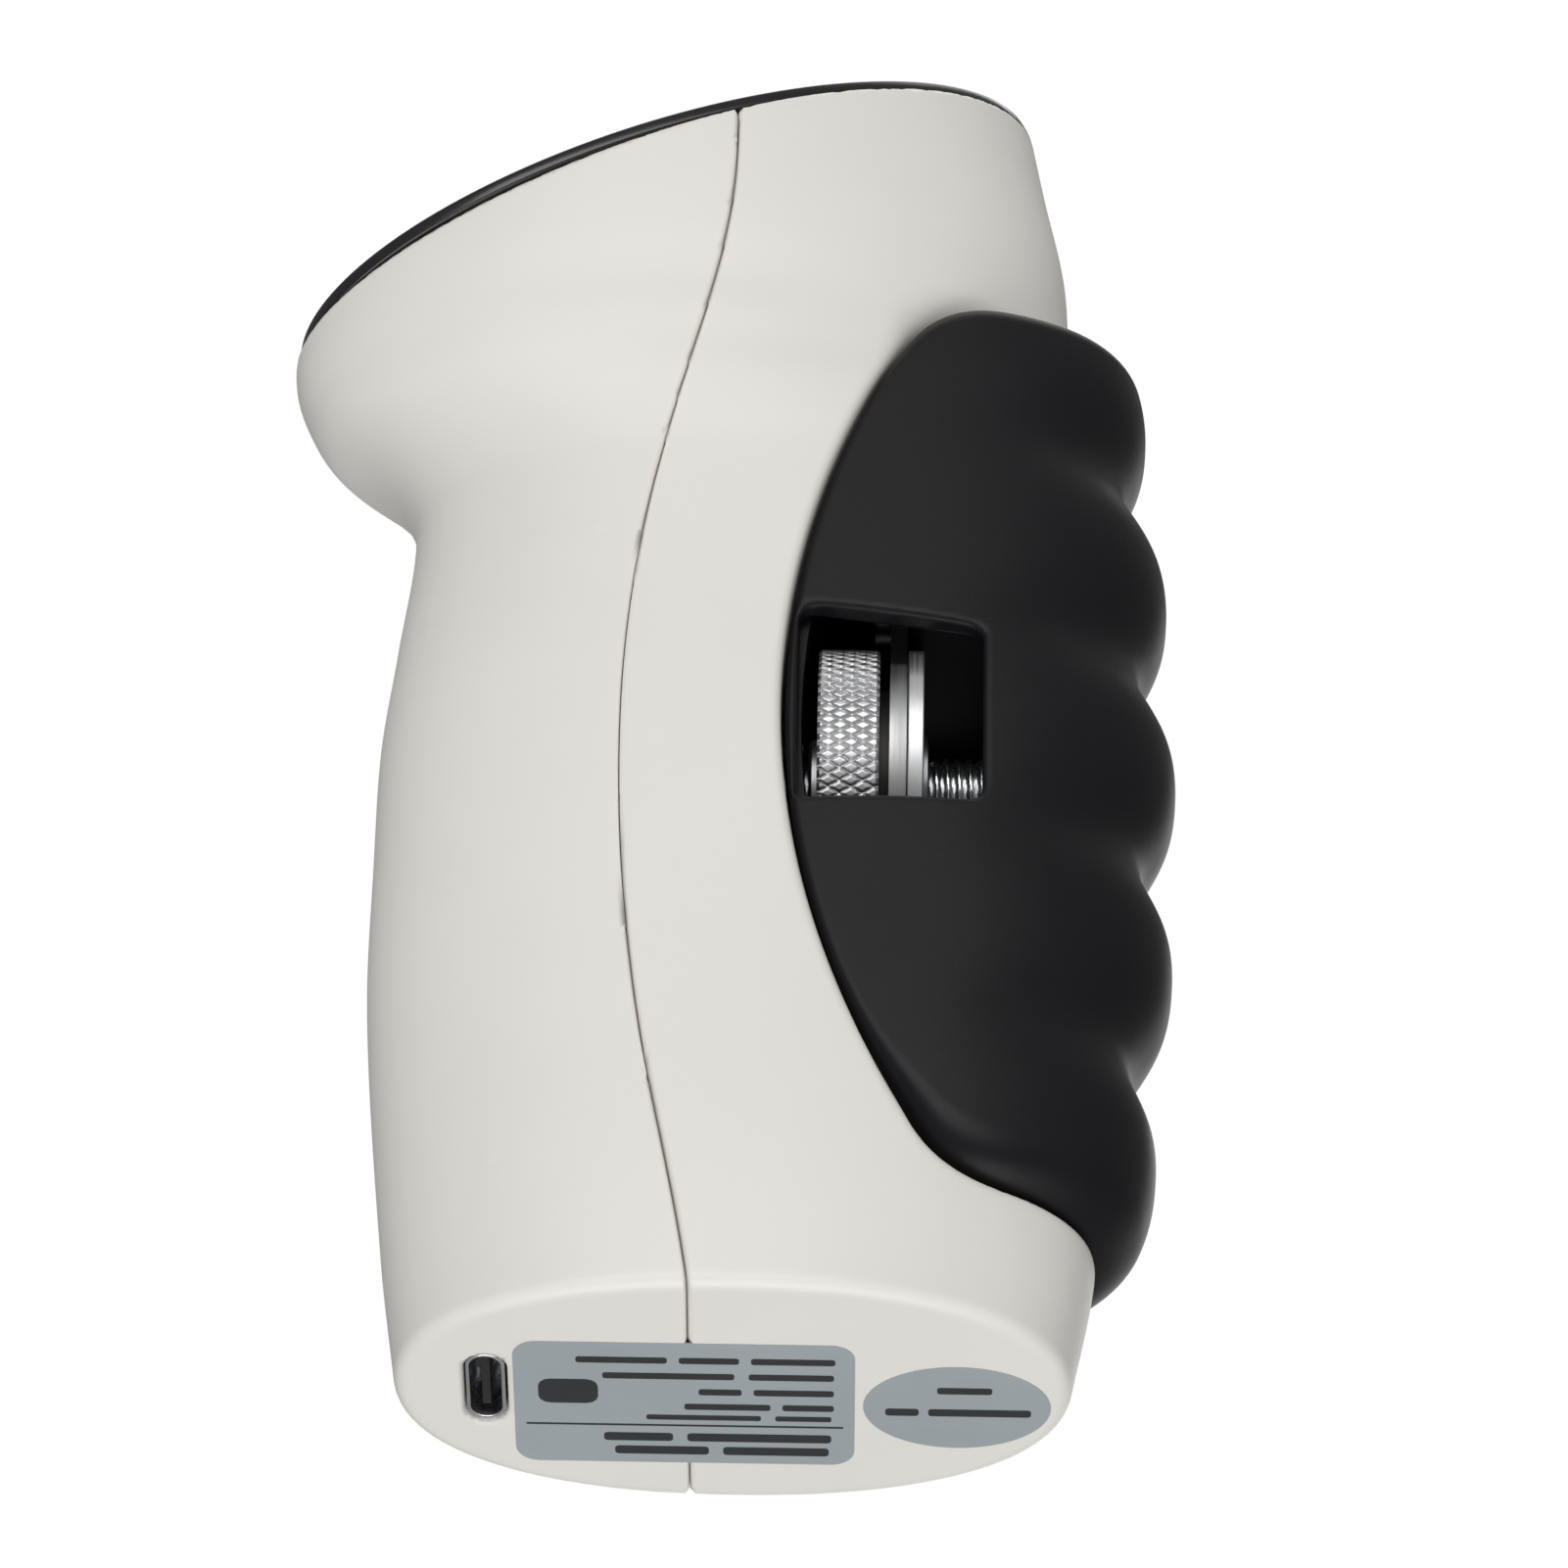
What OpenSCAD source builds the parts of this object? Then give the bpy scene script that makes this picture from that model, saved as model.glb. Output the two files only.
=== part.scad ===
// Hand dynamometer: a moulded body with a tilted display, and a finger grip that a knurled wheel
// drives in and out along a threaded stud. Millimetres. X runs from the palm to the fingers,
// Y across the hand and Z up. The origin is the centre of the base face.

/* [Body] */
// Height of the display's front edge above the base
body_h = 146; // [130:1:176]
// Length of the base along X
foot_l = 56.4; // [52:0.2:68]
// Thickness of the base across Y
foot_t = 31; // [30:0.5:38]
// Thickness of the handle at the palm, across Y
handle_t = 30; // [29:0.5:36]
// Thickness of the head across Y
head_t = 37; // [36:0.5:45]
// Distance from the middle of the base back to the palm face
palm_x = 32.9; // [32:0.1:38]
// Distance back to the neck, where the palm face is drawn in under the head
neck_x = 31; // [30.5:0.1:34]
// Distance from the middle of the base back to the back of the head
head_back = 43.2; // [42:0.1:50]
// Distance forward to the front edge of the display
head_front = 24.9; // [24:0.1:30]
// Height of the head, from the top of the grip to the display's front edge
head_h = 32.8; // [31:0.1:40]
// Height of the foot below the grip
foot_h = 13.4; // [12:0.1:17]
// Wall of the moulded shells
wall = 2.2; // [1.8:0.1:2.6]
// Radius of the edge round the base
base_edge = 1; // [0.5:0.1:2]

/* [Display] */
// Slope of the display, rising towards the fingers
display_tilt = 23; // [18:1:26]
// Thickness of the black plate round the display
bezel_t = 1.1; // [0.8:0.1:1.5]
// How far the plate stands in from the edge of the body
bezel_inset = 0.5; // [0.3:0.1:1.5]
// Length of the display window, up the slope
window_l = 28; // [22:1:30]
// Width of the display window
window_w = 20; // [16:1:22]
// Radius of the two small buttons
button_r = 4.3; // [3.5:0.1:5]
// Radius of the start button
start_r = 5.2; // [4:0.1:6]
// How far a button stands proud of the plate
button_proud = 0.9; // [0.5:0.1:1.5]
// Travel of a button
button_travel = 0.5; // [0.3:0.1:0.7]

/* [Grip] */
// Thickness of the finger grip across Y
grip_t = 28.7; // [27:0.1:30]
// Distance from the middle of the base to the middle finger ridge
grip_front = 37.7; // [36:0.1:42]
// Depth of a finger hollow
finger_depth = 3; // [1:0.1:4]
// Spacing of the finger hollows
finger_pitch = 21.8; // [18:0.1:26]
// How far the grip's front falls away at its two ends
grip_fall = 3; // [0:0.1:5]
// Radius of the curved edge between body and grip
waist_r = 96; // [90:1:140]
// Distance from the middle of the base to that edge at its narrowest
waist_x = 2.8; // [2:0.1:4]
// Radius of the recess's two inner corners
recess_corner = 8; // [4:0.5:10]
// Gap between grip and body
grip_gap = 0.35; // [0.3:0.05:0.6]
// Wall of the grip
grip_wall = 2.3; // [2:0.1:3]
// Travel of the grip
grip_travel = 12; // [8:0.5:13]

/* [Wheel and stud] */
// Outer radius of the stud's thread
stud_r = 4; // [3:0.1:4.4]
// Pitch of the thread
thread_pitch = 1; // [0.7:0.1:1.5]
// Outer radius of the knurled wheel
wheel_r = 13.5; // [12:0.1:13.8]
// Width of the knurled rim
wheel_w = 5.4; // [4:0.1:6]
// Radius of the wheel's hub
hub_r = 5.5; // [5.2:0.1:6.5]
// Running clearance of a shaft in its bore, on the radius
run_fit = 0.05; // [0.02:0.01:0.1]
// Width of the thrust ring outside the plate
ring_w = 1.4; // [1:0.1:2]
// Radius of the two guide pins
pin_r = 2; // [1.5:0.1:2.5]
// Distance from the stud to each guide pin
pin_offset = 33; // [31:0.5:34]

/* [Inside] */
// Length of the load cell
cell_l = 54; // [46:1:55]
// Thickness of the load cell, in X and Y
cell_t = 12; // [9:0.5:12]
// Thickness of the steel plates
plate_t = 1.5; // [1:0.1:2]
// Thickness of the circuit boards
board_t = 1.6; // [0.8:0.1:2]
// Length, width and thickness of the battery
battery_l = 32; // [24:1:34]
battery_w = 18; // [14:1:19]
battery_t = 6; // [4:0.5:7]

/* [Base] */
// Centre of the charging port, back from the middle
port_x = 20.6; // [18:0.1:22]
// Width and height of the charging port's metal shell
port_w = 8.94; // [8:0.01:9.5]
port_h = 3.26; // [2.5:0.01:3.5]
// Length of the rating label, along X
label_l = 28.5; // [20:0.5:29]
// Width of the rating label
label_w = 17; // [12:0.5:18]
// Thickness of the labels, let into the base
label_t = 0.15; // [0.1:0.05:0.3]

/* [Hidden] */

$fn = 64;
loft_n = 40;                                   // points round a lofted slice
far = 90;                                      // longer than anything that is cut
play = 0.1;                                    // slip clearance inside one body

recess_top = body_h - head_h;
recess_h = recess_top - foot_h;
stud_z = foot_h + recess_h * 0.512;
grip_bottom = foot_h + grip_gap;
grip_top = recess_top - grip_gap;

head_mid = (head_front - head_back) / 2;       // centre of the display along X
display_mid_z = body_h - (head_front + head_back) / 2 * tan(display_tilt);
bezel_a = (head_front + head_back) / 2 / cos(display_tilt) - bezel_inset;
bezel_b = head_t / 2 - bezel_inset;
lcd_x = 7;                                     // centre of the window, up the slope
button_x = -13.2;                              // the two small buttons
button_y = 7.4;
start_x = -25;
flange_t = 0.8;
mat_t = 1.6;
button_bottom = -bezel_t - flange_t - 0.3;
mat_top = button_bottom - button_travel - 0.1;
board_top = mat_top - mat_t;
board_bottom = board_top - board_t;

washer_t = 0.8;
face_gap = 0.05;
cover_t = 1.3;                                 // rear cover of the grip
cover_gap = grip_gap + 0.1;
spine_half = pin_offset + 4;
spine_x = waist(spine_half) + cover_gap + cover_t + 0.33;
washer_x = spine_x - face_gap - washer_t;
wheel_x = washer_x - face_gap - wheel_w;       // the rim's palm side
ring_x = spine_x + plate_t + 2 * face_gap;
clip_x = ring_x + ring_w;
clip_t = 0.4;
hub_end = clip_x + clip_t + 0.1;
access_x0 = waist_x + 1.5;                     // the access window in the grip
access_x1 = hub_end + 4.6;
access_low = 10.8;
access_high = 11.2;
access_high_front = 8.8;
stud_end = access_x1 + 4.6;
spine_w = 14;

cell_x = -20;                                  // the load cell's palm side
bracket_x = cell_x - 3.5 - plate_t;
bracket_w = 12;
bracket_l = 2 * (cell_l / 2 + 11.5);
bracket_screw = cell_l / 2 + 8;
cell_screw = cell_l / 2 - 3.5;
bush_r = 4;
bush_l = 10.5;
bush_out = waist(pin_offset - bush_r) - play;  // the bush's finger side, inside the recess face
clip_gap = 0.3;
clip_r = pin_r + 1.6;
pin_in = bush_out - bush_l - grip_travel - clip_gap - 1.6;
case_screw = recess_h / 2 - 7;                 // housing screws, from the stud

// x of the edge between body and grip at a height dz from the stud
function waist(dz) = waist_x + waist_r - sqrt(waist_r * waist_r - dz * dz);

// Value part way from a to b
function mix(a, b, f) = a + (b - a) * f;

// Smooth value of column k at height z, through stations whose first column is the height
function tangent(s, i, k) =
    let (a = max(i - 1, 0), b = min(i + 1, len(s) - 1))
    (s[b][k] - s[a][k]) / (s[b][0] - s[a][0]);
function span(s, z, i = 0) = i >= len(s) - 2 || z < s[i + 1][0] ? i : span(s, z, i + 1);
function smooth(s, z, k) =
    let (i = span(s, z), h = s[i + 1][0] - s[i][0], t = (z - s[i][0]) / h)
    (2 * pow(t, 3) - 3 * t * t + 1) * s[i][k]
    + (pow(t, 3) - 2 * t * t + t) * h * tangent(s, i, k)
    + (3 * t * t - 2 * pow(t, 3)) * s[i + 1][k]
    + (pow(t, 3) - t * t) * h * tangent(s, i + 1, k);

// Rounded outline with half-length a, half-width b and roundness n (2 is an ellipse)
function power(v, p) = sign(v) * pow(abs(v), p);
function oval(a, b, n, count) =
    [for (i = [0:count - 1]) let (t = 360 * i / count)
        [a * power(cos(t), 2 / n), b * power(sin(t), 2 / n)]];
function ring3(mid, a, b, n, z) = [for (p = oval(a, b, n, loft_n)) [p[0] + mid, p[1], z]];

// Body stations: height, back, front, half thickness, roundness
foot_x = foot_l / 2;
head_z = recess_top;
stations = [
    [0, -foot_x, foot_x, foot_t / 2, 2.2],
    [foot_h, -mix(foot_x, palm_x, 0.4), foot_x + 2.2, foot_t / 2, 2.2],
    [mix(foot_h, stud_z, 0.5), -mix(foot_x, palm_x, 0.93), foot_x + 3, handle_t / 2, 2.2],
    [stud_z - 8, -palm_x, foot_x + 3, handle_t / 2, 2.2],
    [stud_z + 4, -palm_x, foot_x + 3, handle_t / 2, 2.2],
    [stud_z + 15, -mix(palm_x, neck_x, 0.47), foot_x + 2.6, handle_t / 2, 2.2],
    [head_z - 19.4, -neck_x, foot_x + 1.5, handle_t / 2 + 0.3, 2.15],
    [head_z - 14.6, -mix(neck_x, head_back, 0.12), foot_x + 1.1, handle_t / 2 + 0.7, 2.1],
    [head_z - 11, -mix(neck_x, head_back, 0.36), foot_x + 0.9, handle_t / 2 + 1, 2.1],
    [head_z - 7.5, -mix(neck_x, head_back, 0.72), foot_x + 0.8, mix(handle_t, head_t, 0.2) / 2 + 0.5, 2.05],
    [head_z - 3.9, -mix(neck_x, head_back, 0.89), foot_x + 0.6, mix(handle_t, head_t, 0.38) / 2 + 0.2, 2],
    [head_z, -mix(neck_x, head_back, 0.985), foot_x + 0.4, mix(handle_t, head_t, 0.5) / 2, 2],
    [head_z + 6, -head_back, foot_x + 0.2, mix(handle_t, head_t, 0.7) / 2, 2],
    [head_z + 14, -head_back, head_front + 3.1, mix(handle_t, head_t, 0.88) / 2, 2],
    [head_z + 24, -head_back, head_front + 1.4, mix(handle_t, head_t, 0.98) / 2, 2],
    [body_h + 2, -head_back, head_front - 0.3, head_t / 2, 2]];

function body_ring(z, inset, drop = 0) =
    let (zz = max(0, min(z, body_h + 2)),
         back = smooth(stations, zz, 1) + inset,
         front = smooth(stations, zz, 2) - inset)
    ring3((back + front) / 2, (front - back) / 2, smooth(stations, zz, 3) - inset,
          smooth(stations, zz, 4), z + drop);

// Solid through a list of rings, one convex length at a time
module loft(rings) {
    n = len(rings[0]);
    for (i = [0:len(rings) - 2])
        hull()
            polyhedron(points = concat(rings[i], rings[i + 1]),
                       faces = [[for (k = [0:n - 1]) k], [for (k = [0:n - 1]) 2 * n - 1 - k]]);
}

// Extrude an outline drawn in X and Z across the full thickness, or to half-width w
module across(w = far / 2) {
    translate([0, w, 0]) rotate([90, 0, 0]) linear_extrude(2 * w) children();
}

// Cylinder along +X from x0 to x1
module rod(x0, x1, r, y = 0, z = stud_z) {
    translate([x0, y, z]) rotate([0, 90, 0]) cylinder(h = x1 - x0, r = r);
}

// Frame of the display: local Z is out of the plate, and its top face is at 0
module on_display() {
    translate([head_mid, 0, display_mid_z]) rotate([0, -display_tilt, 0]) children();
}

module slab(x, y, l, w, z0, z1) {
    translate([x - l / 2, y - w / 2, z0]) cube([l, w, z1 - z0]);
}

// Rectangle with rounded corners, centred
module round_rect(l, w, r) {
    square([l - 2 * r, w], center = true);
    square([l, w - 2 * r], center = true);
    for (x = [-1, 1], y = [-1, 1]) translate([x * (l / 2 - r), y * (w / 2 - r)]) circle(r);
}

// Stadium with its long side along Y
module stadium(h, w) {
    square([h, w - h], center = true);
    for (y = [-1, 1]) translate([0, y * (w - h) / 2]) circle(h / 2);
}

// Outline of the recess that the grip slides in, in X and Z
module recess_outline() {
    offset(r = recess_corner, $fn = 48) offset(delta = -recess_corner)
        intersection() {
            translate([waist_x, foot_h]) square([far, recess_h]);
            translate([waist_x + waist_r, stud_z]) circle(waist_r, $fn = 240);
        }
}

// Line between the rear and front shells
seam_mid = -11.2;
seam_swing = 8.7;
seam_z = stud_z - 1.5;
function seam_x(z) =
    seam_mid + seam_swing * min(1, pow((z - seam_z) / (z < seam_z ? seam_z : recess_top - seam_z + 4), 2));
module rear_side() {
    across() polygon(concat([for (z = [0:6:body_h + 12]) [seam_x(z), z == 0 ? -1 : z]],
                            [[-far, body_h + 12], [-far, -1]]));
}

body_levels = [0.3, 1, 5, 11, 20, 28, 36, 44, 52, 60, 68, 75, 82, 88, 93, 96, 99, 101.5, 104,
               106.5, 109, 112, 116, 121, 127, 134, 141, 148];
level_scale = body_h / 146;
inner_levels = [wall, 14, 30, 46, 62, 76, 88, 96, 102, 107, 112, 120, 132, 148];

module body_solid() {
    loft(concat([body_ring(0, base_edge)], [body_ring(base_edge * 0.3, base_edge * 0.3)],
                [for (z = body_levels) if (z > 0.3) body_ring(z * level_scale, 0)]));
}

module body_hollow() {
    loft([for (z = inner_levels)
          body_ring(z == wall ? wall : z * level_scale, wall)]);
}

// Everything above the underside of the black plate
module above_display(drop) {
    on_display() translate([-far, -far, -drop]) cube([2 * far, 2 * far, far]);
}

module hollow_body() {
    difference() {
        body_solid();
        across() recess_outline();
        above_display(bezel_t);
        difference() {
            body_hollow();
            across() offset(r = wall, $fn = 48) recess_outline();
        }
        translate([-port_x, 0, -1]) linear_extrude(wall + 2, $fn = 32)
            stadium(port_h + 0.4, port_w + 0.4);
        translate([0, 0, -1]) linear_extrude(1 + label_t, $fn = 32) label_outlines(0.1);
    }
}

label_x = -4;
label_y = 1.5;
oval_x = 18.8;
oval_a = 7.85;
oval_b = 5.75;
module rating_outline(grow) {
    translate([label_x, label_y]) round_rect(label_l + 2 * grow, label_w + 2 * grow, 2);
}
module check_outline(grow) {
    translate([oval_x, label_y]) polygon(oval(oval_a + grow, oval_b + grow, 2, 40));
}
module label_outlines(grow) {
    rating_outline(grow);
    check_outline(grow);
}

// Shells
module rear_housing() color([0.86, 0.85, 0.82]) {
    difference() {
        union() {
            intersection() {
                hollow_body();
                rear_side();
            }
            for (s = [-1, 1]) {
                back_boss(bracket_x, 3.4, stud_z + s * bracket_screw);
                back_boss(seam_x(case_z(s)) - 0.2, 3, case_z(s));
            }
        }
        for (s = [-1, 1]) {
            rod(bracket_x - 4.5, bracket_x + 1, 1.5 + play, 0, stud_z + s * bracket_screw);
            case_hole(seam_x(case_z(s)) - 7.5, seam_x(case_z(s)) + 1, 1.5 + play, s);
        }
    }
}

module front_housing() color([0.86, 0.85, 0.82]) {
    difference() {
        union() {
            difference() {
                hollow_body();
                rear_side();
            }
            for (s = [-1, 1]) {
                rod(bush_out - bush_l, bush_out, bush_r + 1.6, 0, stud_z + s * pin_offset);
                rod(seam_x(case_z(s)) + 0.2, waist(case_screw) + 1, 4.6, 0, case_z(s));
            }
        }
        across() recess_outline();
        rod(-10, waist_x + 1, stud_r + 0.6);
        for (s = [-1, 1]) {
            rod(bush_out - bush_l - 1, waist_x + 9, bush_r + play, 0, stud_z + s * pin_offset);
            case_hole(seam_x(case_z(s)) - 1, waist(case_screw) + 4, 1.5 + play, s);
            case_hole(waist(case_screw) - case_sink, waist(case_screw) + 6, 3.1, s);
        }
    }
}

case_sink = 4.6;                               // how deep the screw heads sit in the recess
function case_z(s) = stud_z + s * case_screw;

// Boss from inside the palm wall to x1
module back_boss(x1, r, z) {
    rod(max([for (d = [-r, 0, r]) smooth(stations, z + d, 1)]) + 0.3, x1, r, 0, z);
}
module case_hole(x0, x1, r, s) {
    rod(x0, x1, r, 0, case_z(s));
}

// Display and buttons
module display_bezel() color([0.05, 0.05, 0.055]) on_display() {
    difference() {
        translate([0, 0, -bezel_t]) linear_extrude(bezel_t) polygon(oval(bezel_a, bezel_b, 2, 96));
        translate([lcd_x, 0, -bezel_t - 1]) linear_extrude(bezel_t + 2)
            round_rect(window_l + 2 * play, window_w + 2 * play, 2);
        for (y = [-1, 1])
            translate([button_x, y * button_y, -bezel_t - 1])
                cylinder(h = bezel_t + 2, r = button_r + 0.3);
        translate([start_x, 0, -bezel_t - 1]) cylinder(h = bezel_t + 2, r = start_r + 0.3);
    }
}

module display_window() color([0.25, 0.28, 0.28, 0.5]) on_display()
    translate([lcd_x, 0, -bezel_t]) linear_extrude(bezel_t - 0.05) round_rect(window_l, window_w, 1.9);

module lcd_panel() color([0.55, 0.6, 0.52]) on_display()
    slab(lcd_x, 0, window_l + 2, window_w + 2, -bezel_t - 1.9, -bezel_t - 0.1);

module lcd_backlight() color([0.9, 0.9, 0.86]) on_display()
    slab(lcd_x, 0, window_l + 3, window_w + 3, board_top, -bezel_t - 2);

module display_flex() color([0.7, 0.45, 0.12]) on_display()
    slab(lcd_x + window_l / 2 + 1.9, 0, 0.5, 12, board_top, -bezel_t - 0.6);

module keypad_mat() color([0.3, 0.3, 0.32]) on_display()
    intersection() {
        translate([0, 0, board_top]) linear_extrude(mat_t)
            polygon(oval(bezel_a - wall - 2, bezel_b - wall - 1, 2, 64));
        translate([lcd_x - window_l / 2 - 1.9 - far, -far, board_top]) cube([far, 2 * far, mat_t]);
    }

module button(x, y, r) on_display() translate([x, y, 0]) rotate_extrude()
    polygon([[0, button_bottom], [r + 0.9, button_bottom], [r + 0.9, button_bottom + flange_t],
             [r, button_bottom + flange_t], [r, button_proud - 0.3], [r - 0.3, button_proud],
             [0, button_proud]]);
module power_button() color([0.85, 0.3, 0.12]) button(button_x, -button_y, button_r);
module select_button() color([0.8, 0.8, 0.8]) button(button_x, button_y, button_r);
module start_button() color([0.2, 0.5, 0.3]) button(start_x, 0, start_r);

// Electronics
module main_board() color([0.08, 0.3, 0.16]) on_display()
    translate([0, 0, board_bottom]) linear_extrude(board_t)
        polygon(oval(bezel_a - wall - 3, bezel_b - wall - 1.6, 2, 64));

module board_chips() color([0.1, 0.1, 0.1]) on_display() {
    slab(2, 0, 9, 9, board_bottom - 1.2, board_bottom);
    slab(14, 4, 5, 6, board_bottom - 1.2, board_bottom);
    slab(14, -5, 4, 5, board_bottom - 1.2, board_bottom);
}

module buzzer() color([0.12, 0.12, 0.13]) on_display() translate([start_x + 4, 0, board_bottom - 3.5])
    difference() {
        cylinder(h = 3.5, r = 6);
        translate([0, 0, -1]) cylinder(h = 2, r = 1);
    }

battery_x = 2;
battery_top = board_bottom - 1.6;
module battery() color([0.7, 0.72, 0.75]) on_display()
    slab(battery_x, 0, battery_l, battery_w, battery_top - battery_t, battery_top);

module battery_tray() color([0.2, 0.2, 0.21]) on_display() difference() {
    slab(battery_x, 0, battery_l + 2, battery_w + 2, battery_top - battery_t - 1.2, battery_top - 2);
    slab(battery_x, 0, battery_l + 2 * play, battery_w + 2 * play, battery_top - battery_t, battery_top);
}

// Charging port
port_top = 7.3;
module usb_port_shell() color([0.75, 0.76, 0.78]) translate([-port_x, 0, 0.3]) difference() {
    linear_extrude(port_top - 0.3) stadium(port_h, port_w);
    translate([0, 0, -1]) linear_extrude(port_top - 0.3) stadium(port_h - 0.6, port_w - 0.6);
}
module usb_tongue() color([0.1, 0.1, 0.11])
    slab(-port_x, 0, 0.7, 6.7, 1, port_top - 1);
module usb_board() color([0.08, 0.3, 0.16])
    slab(-port_x + 1.8, 0, 9.4, port_w + 4, port_top, port_top + board_t);

// Load cell and its bracket
module load_cell() color([0.78, 0.79, 0.8]) difference() {
    translate([cell_x, -cell_t / 2, stud_z - cell_l / 2]) cube([cell_t, cell_t, cell_l]);
    for (s = [-1, 1]) {
        translate([cell_x + cell_t / 2, far / 2, stud_z + s * 11]) rotate([90, 0, 0])
            cylinder(h = far, r = cell_t / 2 - 1.6);
        rod(cell_x - 1, cell_x + cell_t + 1, 2 + play, 0, stud_z + s * cell_screw);
    }
    rod(cell_x - 1, cell_x + cell_t + 1, stud_r + 0.02);
}

gauge_t = 0.2;
module strain_gauges() color([0.8, 0.6, 0.2])
    for (s = [-1, 1], x = [cell_x - gauge_t, cell_x + cell_t])
        translate([x, -cell_t / 2 + 0.5, stud_z + s * 11 - 3.5]) cube([gauge_t, 5, 7]);

// Flat cable from the gauges up to the board
flex_top = recess_top - 2;
flex_w = cell_t / 2 - clip_r - 0.4;            // it passes beside the clips on the guide pins
module gauge_flex() color([0.7, 0.45, 0.12])
    translate([cell_x + cell_t + gauge_t, -cell_t / 2, stud_z + 9])
        cube([0.3, flex_w, flex_top - stud_z - 9]);

module cell_bracket() color([0.6, 0.61, 0.63]) difference() {
    union() {
        translate([bracket_x, -bracket_w / 2, stud_z - bracket_l / 2])
            cube([plate_t, bracket_w, bracket_l]);
        for (s = [-1, 1])
            translate([bracket_x, -bracket_w / 2, stud_z + s * cell_screw - 3.5])
                cube([cell_x - bracket_x, bracket_w, 7]);
    }
    for (s = [-1, 1]) {
        rod(bracket_x - 1, cell_x + 1, 2 + play, 0, stud_z + s * cell_screw);
        rod(bracket_x - 1, cell_x + 1, 1.5 + play, 0, stud_z + s * bracket_screw);
    }
    rod(bracket_x - 1, cell_x + 1, stud_r + 1.5);
}

// Pan-head screw along X with its head at x0, pointing to x1
module screw(x0, x1, r, y, z) {
    d = sign(x1 - x0);
    translate([x0, y, z]) rotate([0, 90 * d, 0]) rotate_extrude($fn = 32)
        polygon([[0.9, -0.9], [r * 1.4, -1.9], [r * 1.9, -1.4], [r * 1.9, 0], [r, 0],
                 [r, abs(x1 - x0) - r * 0.6], [r * 0.4, abs(x1 - x0)], [0, abs(x1 - x0)], [0, -0.9]]);
}
module cell_screws() color([0.55, 0.56, 0.58])
    for (s = [-1, 1]) screw(bracket_x, cell_x + cell_t - 1, 2, 0, stud_z + s * cell_screw);
module bracket_screws() color([0.55, 0.56, 0.58])
    for (s = [-1, 1])
        screw(bracket_x + plate_t, bracket_x - 3.6, 1.5, 0, stud_z + s * bracket_screw);
module housing_screws() color([0.3, 0.3, 0.32])
    for (s = [-1, 1])
        screw(waist(case_screw) - case_sink, seam_x(case_z(s)) - 7, 1.5, 0, case_z(s));

// Stud: plain through the load cell, threaded from there on
thread_start = cell_x + cell_t;
thread_depth = thread_pitch * 0.55;
thread_n = floor((stud_end - thread_start - 1) / thread_pitch);
module threaded_stud() color([0.8, 0.81, 0.83])
    translate([cell_x, 0, stud_z]) rotate([0, 90, 0]) rotate_extrude($fn = 48)
        polygon(concat([[0, 0], [stud_r - 0.5, 0], [stud_r, 0.5], [stud_r, cell_t]],
            [for (i = [0:thread_n - 1])
                each [[stud_r - thread_depth, cell_t + (i + 0.5) * thread_pitch],
                      [stud_r, cell_t + (i + 1) * thread_pitch]]],
            [[stud_r - 0.8, stud_end - cell_x], [0, stud_end - cell_x]]));

module stud_lock_nut() color([0.7, 0.71, 0.73])
    difference() {
        translate([thread_start, 0, stud_z]) rotate([0, 90, 0]) cylinder(h = 4, r = 7.5, $fn = 6);
        rod(thread_start - 1, thread_start + 5, stud_r + 0.02);
    }

module stud_seal() color([0.12, 0.12, 0.12]) difference() {
    union() {
        rod(waist_x - wall - 1.2, waist_x - wall, stud_r + 3);
        rod(waist_x - wall, waist_x - 0.3, stud_r + 0.5);
    }
    rod(waist_x - wall - 2, waist_x + 1, stud_r + 0.05);
}

module guide_bushes() color([0.75, 0.6, 0.3])
    for (s = [-1, 1]) difference() {
        rod(bush_out - bush_l, bush_out, bush_r, 0, stud_z + s * pin_offset);
        rod(bush_out - bush_l - 1, bush_out + 1, pin_r + run_fit, 0, stud_z + s * pin_offset);
    }

module rating_label() color([0.57, 0.6, 0.61]) linear_extrude(label_t, $fn = 32) rating_outline(0);
module check_label() color([0.62, 0.64, 0.65]) linear_extrude(label_t) check_outline(0);

// Grip
grip_mid = 12;
grip_round = 2.5;
bottom_round = 4;
top_round = 1.6;
function end_inset(d, r) = d >= r ? 0 : r - sqrt(r * r - pow(r - max(d, 0), 2));
function grip_inset(z) = end_inset(z - grip_bottom, bottom_round) + end_inset(grip_top - z, top_round);
function finger_front(z) =
    let (u = (z - stud_z) / (recess_h / 2))
    grip_front - finger_depth / 2 - grip_fall * u * u
    + finger_depth / 2 * cos(360 * (z - stud_z - 0.8) / finger_pitch);
function grip_ring(z, inset) =
    let (d = inset + grip_inset(z))
    ring3(grip_mid, finger_front(z) - d - grip_mid, grip_t / 2 - d, grip_round, z);
grip_steps = 34;
grip_h = grip_top - grip_bottom;
grip_over = 0.5;                               // the loft runs past the ends that the recess cuts
grip_levels = concat([-grip_over, 0.4, 1.2, 2.4], [for (i = [1:grip_steps - 1]) grip_h * i / grip_steps],
                     [grip_h - 0.8, grip_h + grip_over]);

module grip_solid() {
    intersection() {
        loft([for (d = grip_levels) if (d <= 2.4 || d > 4) grip_ring(grip_bottom + d, 0)]);
        across() offset(delta = -grip_gap) recess_outline();
    }
}

module access_outline() {
    polygon([[access_x0, stud_z - access_low], [access_x1, stud_z - access_low],
             [access_x1, stud_z + access_high_front], [access_x0, stud_z + access_high]]);
}

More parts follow.
